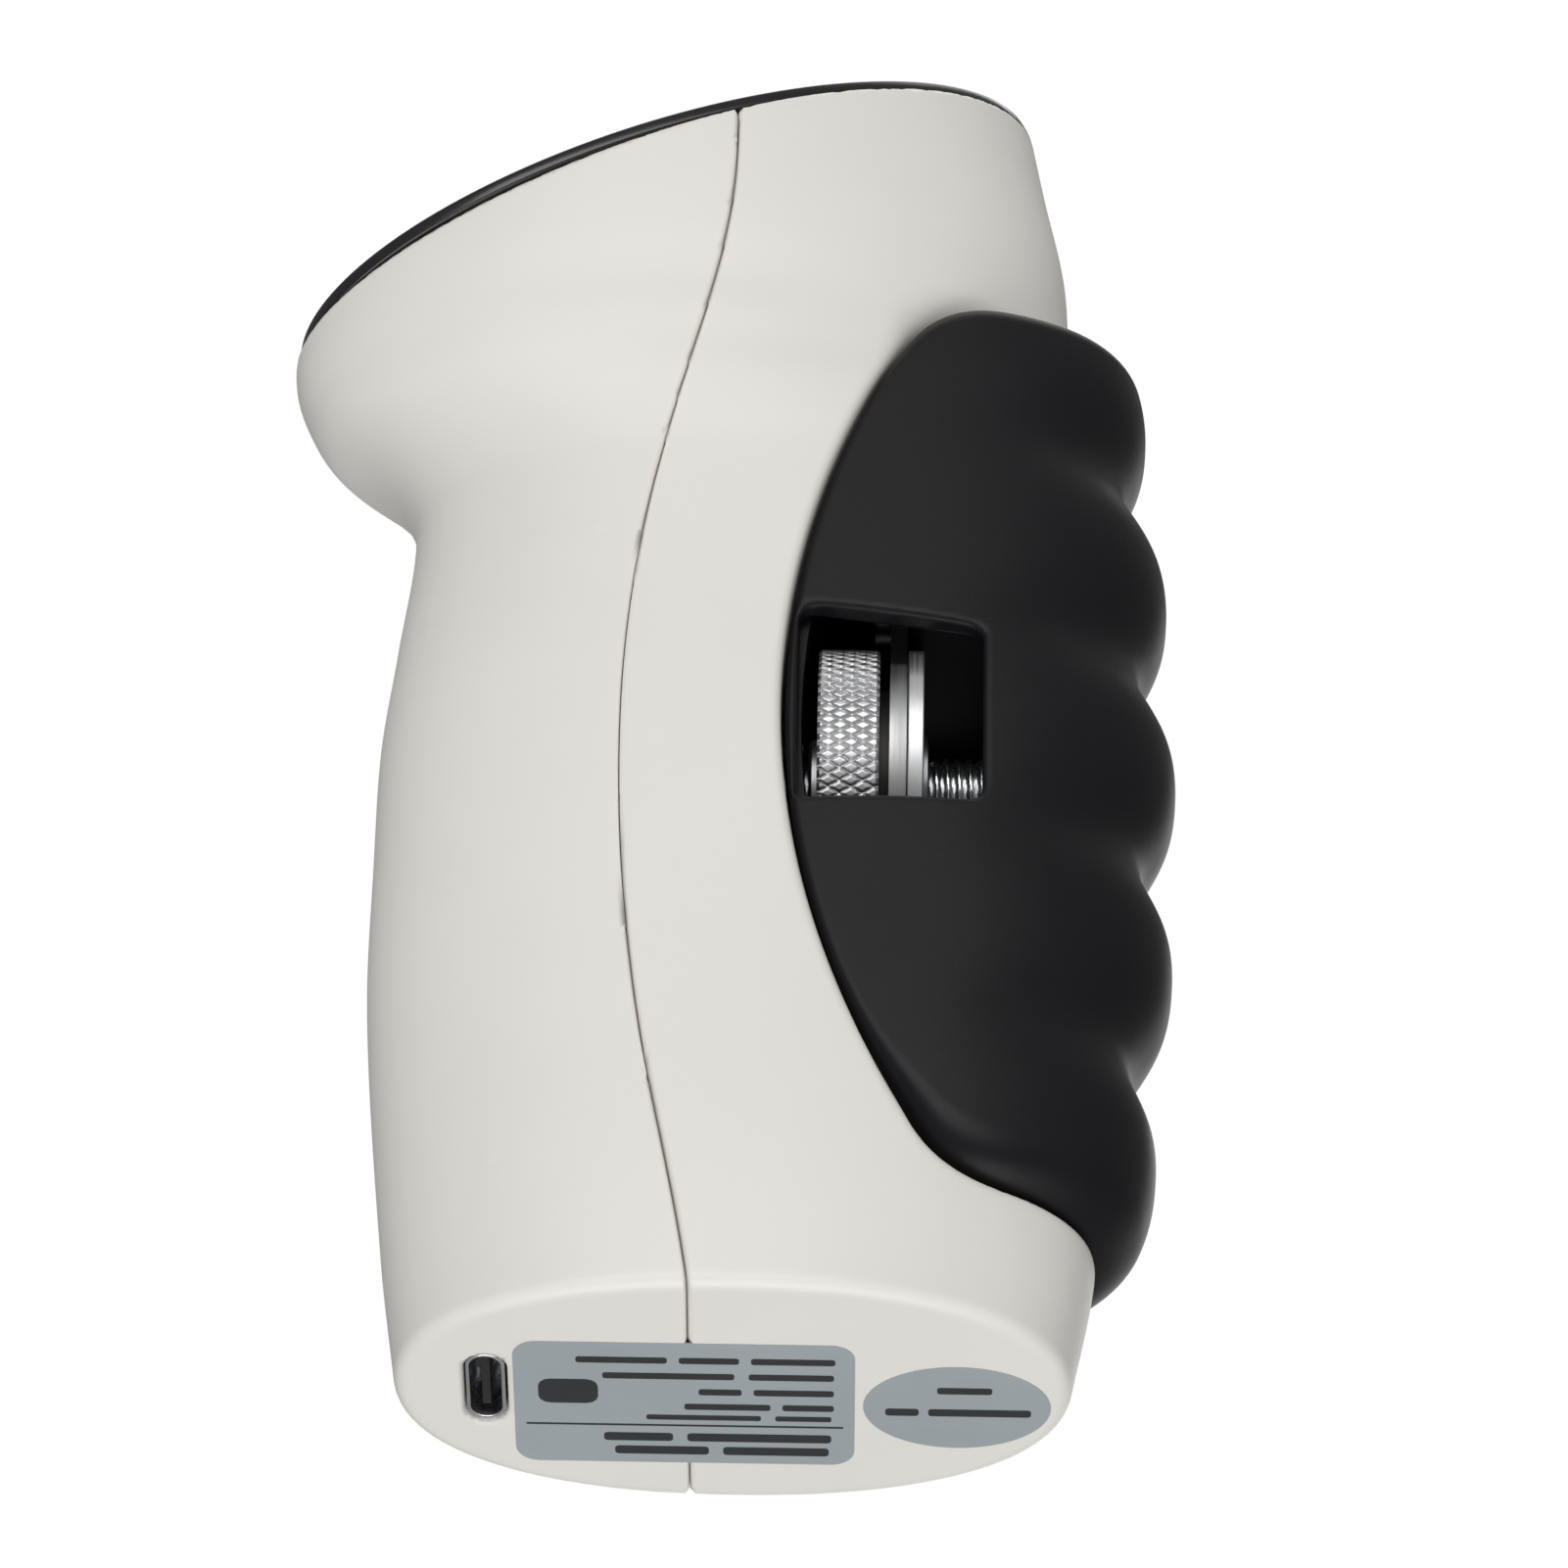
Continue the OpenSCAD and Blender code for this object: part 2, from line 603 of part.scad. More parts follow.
pocket_x = spine_x + plate_t + 0.1;
pocket_y = grip_t / 2 - grip_wall;
pocket_end = pin_offset + 8;
module grip_shell() color([0.13, 0.13, 0.135]) {
    difference() {
        grip_solid();
        translate([0, -pocket_y, stud_z - pocket_end])
            cube([pocket_x, 2 * pocket_y, 2 * pocket_end]);
        translate([0, -pocket_y, stud_z - wheel_r - 0.6])
            cube([access_x1 + 1, 2 * pocket_y, 2 * wheel_r + 1.2]);
        across() access_outline();
        rod(pocket_x, stud_end + 1, stud_r + 0.6);
        for (s = [-1, 1]) {
            rod(spine_x, spine_x + 5, pin_r + 1, 0, stud_z + s * pin_offset);
            rod(spine_x, spine_x + 9, 1.5 + play, 0, stud_z + s * grip_screw);
        }
    }
}

grip_screw = 22;
module grip_rear_cover() color([0.12, 0.12, 0.125]) difference() {
    across(pocket_y - play)
        polygon(concat(
            [for (dz = [-pocket_end + play:4:pocket_end]) [waist(dz) + cover_gap, stud_z + dz]],
            [for (dz = [pocket_end - 1:-4:-pocket_end]) [waist(dz) + cover_gap + cover_t, stud_z + dz]]));
    rod(-far, far, stud_r + 1);
    for (s = [-1, 1]) rod(-far, far, pin_r + 0.5, 0, stud_z + s * pin_offset);
}

module grip_spine() color([0.25, 0.25, 0.26]) difference() {
    union() {
        translate([spine_x, -spine_w / 2, stud_z - spine_half])
            cube([plate_t, spine_w, 2 * spine_half]);
        rod(spine_x, spine_x + plate_t, wheel_r - 1.2);
    }
    rod(spine_x - 1, spine_x + 3, hub_r + run_fit);
    for (s = [-1, 1]) {
        rod(spine_x - 1, spine_x + 3, pin_r, 0, stud_z + s * pin_offset);
        rod(spine_x - 1, spine_x + 3, 1.5 + play, 0, stud_z + s * grip_screw);
    }
}

module grip_screws() color([0.5, 0.51, 0.53])
    for (s = [-1, 1]) screw(spine_x, spine_x + 8, 1.5, 0, stud_z + s * grip_screw);

module guide_pins() color([0.8, 0.81, 0.83])
    for (s = [-1, 1]) difference() {
        rod(pin_in, spine_x + plate_t + 0.6, pin_r, 0, stud_z + s * pin_offset);
        difference() {
            rod(pin_in + 0.6, pin_in + 1.4, pin_r + 1, 0, stud_z + s * pin_offset);
            rod(pin_in, pin_in + 2, pin_r - 0.5, 0, stud_z + s * pin_offset);
        }
    }

module pin_clips() color([0.4, 0.41, 0.43])
    for (s = [-1, 1]) difference() {
        rod(pin_in + 0.65, pin_in + 1.35, clip_r, 0, stud_z + s * pin_offset);
        rod(pin_in, pin_in + 2, pin_r - 0.48, 0, stud_z + s * pin_offset);
    }

module thrust_washer() color([0.7, 0.55, 0.3]) difference() {
    rod(washer_x, washer_x + washer_t, wheel_r - 3.5);
    rod(washer_x - 1, washer_x + 2, hub_r + run_fit);
}

// Wheel
rim_chamfer = 0.4;
groove_r = hub_r - 0.6;
module knurled_wheel() color([0.78, 0.79, 0.8])
    translate([0, 0, stud_z]) rotate([0, 90, 0]) rotate_extrude($fn = 96)
        polygon([[stud_r + run_fit, wheel_x - 0.8], [hub_r, wheel_x - 0.8], [hub_r, wheel_x],
                 [wheel_r - rim_chamfer, wheel_x], [wheel_r, wheel_x + rim_chamfer],
                 [wheel_r, wheel_x + wheel_w - rim_chamfer],
                 [wheel_r - rim_chamfer, wheel_x + wheel_w], [hub_r, wheel_x + wheel_w],
                 [hub_r, clip_x], [groove_r, clip_x], [groove_r, clip_x + clip_t],
                 [hub_r, clip_x + clip_t], [hub_r, hub_end], [stud_r + run_fit, hub_end]]);

module thrust_ring() color([0.85, 0.86, 0.88]) difference() {
    rod(ring_x, ring_x + ring_w, wheel_r);
    rod(ring_x - 1, ring_x + 3, hub_r + 0.02);
}

module circlip() color([0.5, 0.5, 0.52])
    difference() {
        rod(clip_x, clip_x + clip_t, hub_r + 0.9);
        rod(clip_x - 1, clip_x + 2, groove_r + 0.02);
        translate([clip_x - 1, -1.5, stud_z]) cube([3, 3, hub_r + 2]);
    }

rear_housing();
front_housing();
display_bezel();
display_window();
lcd_panel();
lcd_backlight();
display_flex();
keypad_mat();
power_button();
select_button();
start_button();
main_board();
board_chips();
buzzer();
battery();
battery_tray();
usb_port_shell();
usb_tongue();
usb_board();
load_cell();
strain_gauges();
gauge_flex();
cell_bracket();
cell_screws();
bracket_screws();
threaded_stud();
stud_lock_nut();
stud_seal();
guide_bushes();
housing_screws();
rating_label();
check_label();
grip_shell();
grip_rear_cover();
grip_spine();
grip_screws();
guide_pins();
pin_clips();
thrust_washer();
knurled_wheel();
thrust_ring();
circlip();
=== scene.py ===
import math
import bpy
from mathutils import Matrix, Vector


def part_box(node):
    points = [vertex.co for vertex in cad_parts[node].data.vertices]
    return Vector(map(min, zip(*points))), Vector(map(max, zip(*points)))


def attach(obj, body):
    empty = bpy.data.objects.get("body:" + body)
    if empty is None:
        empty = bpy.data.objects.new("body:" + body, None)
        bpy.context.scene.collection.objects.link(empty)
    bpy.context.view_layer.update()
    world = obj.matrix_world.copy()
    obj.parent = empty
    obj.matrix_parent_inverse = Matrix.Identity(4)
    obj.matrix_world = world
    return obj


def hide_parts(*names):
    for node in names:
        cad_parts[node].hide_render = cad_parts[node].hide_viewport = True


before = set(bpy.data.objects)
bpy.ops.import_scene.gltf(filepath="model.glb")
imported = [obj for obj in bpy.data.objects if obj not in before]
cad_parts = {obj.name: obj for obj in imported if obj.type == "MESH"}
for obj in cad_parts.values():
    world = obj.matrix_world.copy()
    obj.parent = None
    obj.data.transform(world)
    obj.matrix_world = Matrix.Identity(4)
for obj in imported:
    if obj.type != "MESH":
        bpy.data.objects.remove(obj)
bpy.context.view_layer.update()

from types import SimpleNamespace

import bmesh
import bpy
import numpy as np
from bpy.props import FloatProperty, FloatVectorProperty, IntProperty, PointerProperty
from mathutils import Matrix, Vector

bl_info = {
    "name": "Hand dynamometer",
    "version": (1, 0, 0),
    "blender": (4, 5, 0),
    "location": "View3D > Sidebar > Dynamometer",
    "description": "Moulded housing, finger grip, knurled wheel and display of a hand dynamometer",
    "category": "Object",
}

MM = 0.001


# Where the frame puts things, in millimetres

def reach(node):
    """Lowest and highest corner of a CAD node, in millimetres."""
    return [np.array(corner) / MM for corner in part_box(node)]


def centre(node):
    low, high = reach(node)
    return (low + high) / 2


STUD = centre("threaded_stud")
STUD_LOW, STUD_HIGH = reach("threaded_stud")
GRIP_LOW, GRIP_HIGH = reach("grip_shell")
WHEEL_LOW, WHEEL_HIGH = reach("knurled_wheel")
RING_LOW, RING_HIGH = reach("thrust_ring")
CLIP_LOW, CLIP_HIGH = reach("circlip")
BODY_LOW = reach("rear_housing")[0]
BEZEL_HIGH = reach("display_bezel")[1]
PORT_LOW, PORT_HIGH = reach("usb_port_shell")
LABEL_LOW, LABEL_HIGH = reach("rating_label")
CHECK_LOW, CHECK_HIGH = reach("check_label")
BUSH_LOW, BUSH_HIGH = reach("guide_bushes")
COVER_LOW, COVER_HIGH = reach("grip_rear_cover")


# Properties

def length(name, description, millimetres):
    return FloatProperty(name=name, description=description, default=millimetres * MM, unit="LENGTH",
                         precision=5)


def linear(red, green, blue):
    """A display colour from 0 to 255 as linear light."""
    return tuple(((v / 255 + 0.055) / 1.055) ** 2.4 if v > 10 else v / 255 / 12.92
                 for v in (red, green, blue))


def colour(name, description, red, green, blue):
    return FloatVectorProperty(name=name, description=description, subtype="COLOR", size=3,
                               min=0.0, max=1.0, default=linear(red, green, blue))


class HousingSizes(bpy.types.PropertyGroup):
    body_h: length("Body height", "Height of the display's front edge above the base", 146.0)
    foot_l: length("Foot length", "Length of the base from palm to fingers", 56.4)
    foot_t: length("Foot thickness", "Thickness of the base across", 31.0)
    handle_t: length("Handle thickness", "Thickness of the handle at the palm", 30.0)
    head_t: length("Head thickness", "Thickness of the head across", 37.0)
    palm_x: length("Palm", "Distance from the middle of the base back to the palm face", 32.9)
    neck_x: length("Neck", "Distance back to the neck under the head", 31.0)
    head_back: length("Head back", "Distance back to the back of the head", 43.2)
    head_front: length("Head front", "Distance forward to the front edge of the display", 24.9)
    foot_h: length("Foot height", "Height of the foot below the grip", 13.4)
    head_h: length("Head height", "Height of the head above the grip", 32.8)
    wall: length("Wall", "Wall of the moulded shells", 2.2)
    base_edge: length("Base edge", "Radius of the edge round the base", 1.1)
    seam_gap: length("Seam gap", "Gap between the two shells", 0.06)
    seam_edge: length("Seam edge", "Softness of the moulded edge at the seam", 0.14)
    lip: length("Recess lip", "Softness of the edge round the recess", 0.9)
    lip_top: length("Upper lip", "Softness of the edge over the top of the grip", 3.4)
    port_fit: length("Port clearance", "Gap round the charging port", 0.2)
    case_boss: length("Rear screw boss", "Radius of the rear shell's case bosses", 3.0)
    bracket_boss: length("Bracket boss", "Radius of the bosses under the bracket", 3.4)
    front_boss: length("Front screw boss", "Radius of the front shell's case bosses", 4.6)
    pilot: length("Pilot hole", "Radius of the holes for the screws", 1.6)
    well: length("Screw well", "Radius of the wells for the screw heads", 3.1)
    bush_wall: length("Bush wall", "Wall round the guide bushes", 1.6)
    stud_hole: length("Stud hole", "Radius of the hole for the stud", 4.6)
    cell: length("Mesh step", "Step of the grid that the shells are meshed on", 0.5)


class GripSizes(bpy.types.PropertyGroup):
    waist_r: length("Waist radius", "Radius of the curved edge between body and grip", 96.0)
    waist_x: length("Waist", "Distance from the middle of the base to that edge", 2.8)
    corner: length("Recess corner", "Softness of the recess's two inner corners", 4.6)
    gap: length("Gap", "Gap between grip and body", 0.35)
    front: length("Front", "Distance from the middle of the base to the middle finger ridge", 37.7)
    finger_depth: length("Finger depth", "Depth of a finger hollow", 3.0)
    finger_pitch: length("Finger pitch", "Spacing of the finger hollows", 21.8)
    fall: length("Fall", "How far the front falls away at its two ends", 3.0)
    middle: length("Middle", "Widest place of the grip", 12.0)
    wall: length("Wall", "Wall of the grip", 2.3)
    edge: length("Edge", "Softness of the edge along the waist", 0.8)
    low_edge: length("Lower edge", "Softness of the lower end", 4.4)
    high_edge: length("Upper edge", "Softness of the upper end", 2.6)
    window_up: length("Window top", "Height of the access window over the stud, at the palm", 11.2)
    window_fall: length("Window fall", "How far the window's upper edge falls towards the fingers", 2.4)
    window_down: length("Window bottom", "Depth of the access window under the stud", 10.8)
    window_edge: length("Window edge", "Softness of the access window's edge", 0.8)
    cell: length("Mesh step", "Step of the grid that the grip is meshed on", 0.45)


class WheelSizes(bpy.types.PropertyGroup):
    knurls: IntProperty(name="Knurls", description="Diamonds round the rim", default=74, min=20, max=120)
    knurl_l: length("Knurl length", "Length of a diamond along the axis", 2.0)
    knurl_depth: length("Knurl depth", "Depth of the knurling", 0.2)
    chamfer: length("Chamfer", "Chamfer of turned edges", 0.25)
    pitch: length("Thread pitch", "Pitch of the stud's thread", 1.0)
    thread_depth: length("Thread depth", "Depth of the stud's thread", 0.55)


class DisplaySizes(bpy.types.PropertyGroup):
    tilt: FloatProperty(name="Tilt", description="Slope of the display", subtype="ANGLE",
                        default=math.radians(23.0))
    plate_t: length("Plate", "Thickness of the black plate", 1.1)
    reveal: length("Reveal", "How far the plate's dark side shows over the edge of the body", 0.25)
    inset: length("Inset", "How far the plate stands in from the edge of the body", 0.3)
    window_x: length("Window place", "Centre of the window up the slope", 7.0)
    window_l: length("Window length", "Length of the window", 28.0)
    window_w: length("Window width", "Width of the window", 20.0)
    button_x: length("Button place", "The two small buttons, up the slope", -13.2)
    button_y: length("Button spacing", "Half the distance between the small buttons", 7.4)
    start_x: length("Start place", "The start button, up the slope", -25.0)
    button_r: length("Button", "Radius of the small buttons", 4.3)
    start_r: length("Start button", "Radius of the start button", 5.2)
    proud: length("Button height", "How far a button stands proud", 0.9)


class FinishColours(bpy.types.PropertyGroup):
    shell: colour("Shell", "White moulded plastic", 220, 217, 211)
    grip: colour("Grip", "Black matt grip", 17, 16, 19)
    plate: colour("Display plate", "Black plate round the display", 20, 20, 22)
    label: colour("Label", "Grey label stock", 150, 157, 160)
    label_ink: colour("Label bars", "Printed bars", 34, 36, 38)
    steel: colour("Steel", "Bright turned steel", 205, 206, 208)
    dark_steel: colour("Dark steel", "Blackened steel plate", 118, 119, 122)
    brass: colour("Bronze", "Bearing bronze", 196, 160, 96)
    rubber: colour("Rubber", "Dark rubber", 48, 48, 50)
    board: colour("Board", "Circuit board lacquer", 28, 92, 54)
    lcd: colour("Display", "Reflective display", 176, 186, 166)
    start: colour("Start button", "Green button", 62, 132, 88)
    power: colour("Power button", "Orange button", 206, 100, 52)
    select: colour("Select button", "Grey button", 188, 190, 192)
    amber: colour("Flex", "Amber flat cable", 196, 132, 52)
    window: colour("Window", "Faint tint of the clear window", 238, 243, 243)
    knurl: colour("Wheel", "Knurled steel", 176, 176, 177)
    ring: colour("Ring", "Satin steel ring", 190, 190, 190)
    spine: colour("Spine", "Steel plate behind the ring", 158, 158, 158)
    washer: colour("Washer", "Oiled dark washer", 58, 57, 56)


def mm(group):
    """The lengths of a property group in millimetres."""
    found = {}
    for name, prop in group.bl_rna.properties.items():
        if prop.type == "FLOAT" and not prop.is_array:
            value = getattr(group, name)
            found[name] = value / MM if prop.unit == "LENGTH" else value
    return SimpleNamespace(**found)


# Form of the moulded pieces: fields below zero inside, in millimetres

def mix(a, b, share):
    return a + (b - a) * share


def smooth_max(a, b, softness):
    """The larger of two fields, with the edge between them rounded over."""
    overlap = np.maximum(softness - np.abs(a - b), 0) / softness
    return np.maximum(a, b) + overlap * overlap * softness / 4


def rod(p, x0, x1, radius, z):
    """Cylinder along the finger direction."""
    return np.maximum(np.hypot(p[1], p[2] - z) - radius, np.maximum(x0 - p[0], p[0] - x1))


def above_and_below(distance):
    """Two heights at the same distance from the stud."""
    return STUD[2] - distance, STUD[2] + distance


def block(p, low, high):
    return np.maximum.reduce([np.maximum(low[i] - p[i], p[i] - high[i]) for i in range(3)])


def rounded_section(dx, dy, a, b, power):
    """Rounded outline with half sizes a and b: about the distance to it."""
    u, v = np.abs(dx) / a, np.abs(dy) / b
    size = np.maximum((u ** power + v ** power) ** (1 / power), 0.15)
    slope = size ** (1 - power) * np.hypot(u ** (power - 1) / a, v ** (power - 1) / b)
    return (size - 1) / np.maximum(slope, 0.01)


def stations(h):
    """Heights of the body with their back, front, half thickness and roundness."""
    foot = h.foot_l / 2
    top = h.body_h - h.head_h
    handle, head = h.handle_t / 2, h.head_t / 2
    back = lambda share: -mix(h.neck_x, h.head_back, share)
    side = lambda share: mix(handle, head, share)
    return np.array([
        [0, -foot, foot, h.foot_t / 2, 2.2],
        [h.foot_h, -mix(foot, h.palm_x, 0.4), foot + 2.2, h.foot_t / 2, 2.2],
        [mix(h.foot_h, STUD[2], 0.5), -mix(foot, h.palm_x, 0.93), foot + 3, handle, 2.2],
        [STUD[2] - 8, -h.palm_x, foot + 3, handle, 2.2],
        [STUD[2] + 4, -h.palm_x, foot + 3, handle, 2.2],
        [STUD[2] + 15, -mix(h.palm_x, h.neck_x, 0.47), foot + 2.6, handle, 2.2],
        [top - 19.4, -h.neck_x, foot + 1.5, handle + 0.3, 2.15],
        [top - 14.6, back(0.12), foot + 1.1, handle + 0.7, 2.1],
        [top - 11, back(0.36), foot + 0.9, handle + 1, 2.1],
        [top - 7.5, back(0.72), foot + 0.8, side(0.2) + 0.5, 2.05],
        [top - 3.9, back(0.89), foot + 0.6, side(0.38) + 0.2, 2],
        [top, back(0.985), foot + 0.4, side(0.5), 2],
        [top + 6, -h.head_back, foot + 0.2, side(0.7), 2],
        [top + 14, -h.head_back, h.head_front + 3.1, side(0.88), 2],
        [top + 24, -h.head_back, h.head_front + 1.4, side(0.98), 2],
        [h.body_h + 2, -h.head_back, h.head_front - 0.3, head, 2]])


def smooth_columns(rows, levels):
    """Smooth curves through the stations, read at each level."""
    z, values = rows[:, 0], rows[:, 1:]
    low = np.maximum(np.arange(len(z)) - 1, 0)
    high = np.minimum(np.arange(len(z)) + 1, len(z) - 1)
    slope = (values[high] - values[low]) / (z[high] - z[low])[:, None]
    levels = np.clip(levels, z[0], z[-1])
    i = np.clip(np.searchsorted(z, levels, side="right") - 1, 0, len(z) - 2)
    step = (z[i + 1] - z[i])[:, None]
    t = (levels - z[i])[:, None] / step
    return ((2 * t ** 3 - 3 * t * t + 1) * values[i] + (t ** 3 - 2 * t * t + t) * step * slope[i]
            + (3 * t * t - 2 * t ** 3) * values[i + 1] + (t ** 3 - t * t) * step * slope[i + 1]).T


class Form:
    """The shapes that housing and grip share."""

    def __init__(self, scene):
        self.h = mm(scene.dyno_housing)
        self.g = mm(scene.dyno_grip)
        self.d = mm(scene.dyno_display)
        self.top = self.h.body_h - self.h.head_h
        self.half = (self.top - self.h.foot_h) / 2
        self.levels = np.arange(-1.0, self.h.body_h + 2, 0.25)
        self.columns = smooth_columns(stations(self.h), self.levels)
        self.head_mid = (self.h.head_front - self.h.head_back) / 2
        rise = (self.h.head_front + self.h.head_back) / 2
        self.display_z = self.h.body_h - rise * math.tan(self.d.tilt)
        self.plate_a = rise / math.cos(self.d.tilt) - self.d.inset
        self.plate_b = self.h.head_t / 2 - self.d.inset

    def display_frame(self):
        """Frame of the display: its Z is out of the plate."""
        place = Vector((self.head_mid, 0, self.display_z)) * MM
        return Matrix.Translation(place) @ Matrix.Rotation(-self.d.tilt, 4, "Y")

    def above_display(self, p):
        return (-math.sin(self.d.tilt) * (p[0] - self.head_mid)
                + math.cos(self.d.tilt) * (p[2] - self.display_z))

    def body(self, p, inset=0.0):
        back, front, half, power = (np.interp(p[2], self.levels, c) for c in self.columns)
        a = (front - back) / 2 - inset
        return rounded_section(p[0] - (front + back) / 2, p[1], a, half - inset, power)

    def waist(self, z):
        """Where the curved edge lies at each height."""
        rise = np.clip(z - STUD[2], -self.half, self.half)
        return self.g.waist_x + self.g.waist_r - np.sqrt(self.g.waist_r ** 2 - rise ** 2)

    def recess(self, p, gap=0.0):
        arc = np.hypot(p[0] - self.g.waist_x - self.g.waist_r, p[2] - STUD[2]) - self.g.waist_r + gap
        outline = smooth_max(arc, p[2] - self.top + gap, self.g.corner)
        return smooth_max(outline, self.h.foot_h + gap - p[2], self.g.corner)

    def seam(self, z):
        """Where the two shells meet at each height."""
        middle = STUD[2] - 1.5
        reach_down, reach_up = middle, self.top - middle + 4
        share = (z - middle) / np.where(z < middle, reach_down, reach_up - 1)
        return -11.2 - 8.7 * smooth_max(-share * share, -1.0, 0.5)

    def shell(self, p):
        x, y, z = p
        outer = smooth_max(self.body(p), -z, 1.2 * self.h.base_edge)
        outer = smooth_max(outer, self.above_display(p) + self.d.plate_t + self.d.reveal, 0.5)
        recess = self.recess(p)
        near_top = np.exp(-((self.top - z) / 6.0) ** 2)
        outer = smooth_max(outer, -recess, mix(self.h.lip, self.h.lip_top, near_top))
        cavity = np.maximum(self.body(p, self.h.wall), self.h.wall - z)
        cavity = np.maximum(cavity, self.h.wall - recess)
        return np.maximum(outer, -cavity)

    def port_slot(self, p):
        """Opening round the charging port, rounded at both ends."""
        half_h = (PORT_HIGH[0] - PORT_LOW[0]) / 2
        run = (PORT_HIGH[1] - PORT_LOW[1]) / 2 - half_h
        mid = (PORT_HIGH + PORT_LOW) / 2
        off = np.hypot(p[0] - mid[0], np.maximum(np.abs(p[1] - mid[1]) - run, 0))
        return np.maximum(off - half_h - self.h.port_fit, p[2] - self.h.wall - 1)

    def back_boss(self, p, x1, radius, z):
        """Boss from inside the palm wall to x1."""
        back = max(np.interp(z + step, self.levels, self.columns[0]) for step in (-radius, 0, radius))
        return rod(p, back + 0.3, x1, radius, z)

    def rear(self, p):
        h, low = self.h, reach("cell_bracket")[0]
        field = smooth_max(self.shell(p), -self.port_slot(p), 0.35)
        field = smooth_max(field, p[0] - self.seam(p[2]) + h.seam_gap / 2, h.seam_edge)
        for z in above_and_below(self.half - 7):
            seam = self.seam(np.array(z))
            field = np.minimum(field, self.back_boss(p, seam - 0.2, h.case_boss, z))
            field = np.maximum(field, -rod(p, seam - 7.5, seam + 1, h.pilot, z))
        for z in above_and_below(STUD[2] - low[2] - 3.5):
            field = np.minimum(field, self.back_boss(p, low[0], h.bracket_boss, z))
            field = np.maximum(field, -rod(p, low[0] - 4.5, low[0] + 1, h.pilot, z))
        return field

    def front(self, p):
        h, bush_r = self.h, (BUSH_HIGH[1] - BUSH_LOW[1]) / 2
        bushes = above_and_below((BUSH_HIGH[2] - BUSH_LOW[2]) / 2 - bush_r)
        screws = above_and_below(self.half - 7)
        field = smooth_max(self.shell(p), self.seam(p[2]) + h.seam_gap / 2 - p[0], h.seam_edge)
        for z in bushes:
            field = np.minimum(field, rod(p, BUSH_LOW[0], BUSH_HIGH[0], bush_r + h.bush_wall, z))
        for z in screws:
            seam = self.seam(np.array(z))
            field = np.minimum(field, rod(p, seam + 0.2, self.waist(z) + 1, h.front_boss, z))
        field = np.maximum(field, -self.recess(p))
        for z in bushes:
            field = np.maximum(field, -rod(p, BUSH_LOW[0] - 1, BUSH_HIGH[0] + 3, bush_r + 0.1, z))
        for z in screws:
            waist = self.waist(z)
            field = np.maximum(field, -rod(p, self.seam(np.array(z)) - 1, waist + 4, h.pilot, z))
            field = np.maximum(field, -rod(p, waist - 4.6, waist + 6, h.well, z))
        return np.maximum(field, -rod(p, -10, self.g.waist_x + 1, h.stud_hole, STUD[2]))

    def finger_front(self, z):
        share = (z - STUD[2]) / self.half
        turn = 2 * math.pi * (z - STUD[2] - 0.8) / self.g.finger_pitch
        wave = np.cos(turn) + 0.14 - 0.14 * np.cos(2 * turn)
        return (self.g.front - self.g.finger_depth / 2 - self.g.fall * share * share
                + self.g.finger_depth / 2 * wave)

    def access(self, p):
        """Window through the grip at the wheel, its upper edge falling towards the fingers."""
        x0, x1 = self.g.waist_x + 1.5, WHEEL_HIGH[0] + 4.6
        share = np.clip((p[0] - x0) / (x1 - x0), 0, 1)
        above = p[2] - STUD[2] - self.g.window_up + share * self.g.window_fall
        sides = smooth_max(x0 - p[0], STUD[2] - self.g.window_down - p[2], 0.8)
        return smooth_max(smooth_max(sides, above, 2.0), p[0] - x1, 1.6)

    def grip(self, p):
        x, y, z = p
        half_t = (GRIP_HIGH[1] - GRIP_LOW[1]) / 2
        pocket_y, pocket_x = half_t - self.g.wall, WHEEL_HIGH[0] - 1.9
        section = rounded_section(x - self.g.middle, y, self.finger_front(z) - self.g.middle, half_t, 2.5)
        near_low = np.exp(-((z - GRIP_LOW[2]) / 11.0) ** 2)
        near_high = np.exp(-((GRIP_HIGH[2] - z) / 7.0) ** 2)
        edge = self.g.edge + near_low * (self.g.low_edge - self.g.edge)
        edge = edge + near_high * (self.g.high_edge - self.g.edge)
        field = smooth_max(section, self.recess(p, self.g.gap), edge)
        reach_z = (COVER_HIGH[2] - COVER_LOW[2]) / 2 + 0.1
        pocket = block(p, (0, -pocket_y, STUD[2] - reach_z), (pocket_x, pocket_y, STUD[2] + reach_z))
        wheel_r = (WHEEL_HIGH[2] - WHEEL_LOW[2]) / 2
        chamber = block(p, (0, -pocket_y, STUD[2] - wheel_r - 0.6),
                        (WHEEL_HIGH[0] + 5.6, pocket_y, STUD[2] + wheel_r + 0.6))
        field = np.maximum(field, -np.minimum(pocket, chamber))
        field = smooth_max(field, -self.access(p), self.g.window_edge)
        return np.maximum(field, -rod(p, 10, STUD_HIGH[0] + 1, self.h.stud_hole, STUD[2]))


# Meshing a field

CORNERS = [(i, j, k) for i in (0, 1) for j in (0, 1) for k in (0, 1)]
EDGES = [(a, b) for a in CORNERS for b in CORNERS if a < b and sum(abs(m - n) for m, n in zip(a, b)) == 1]


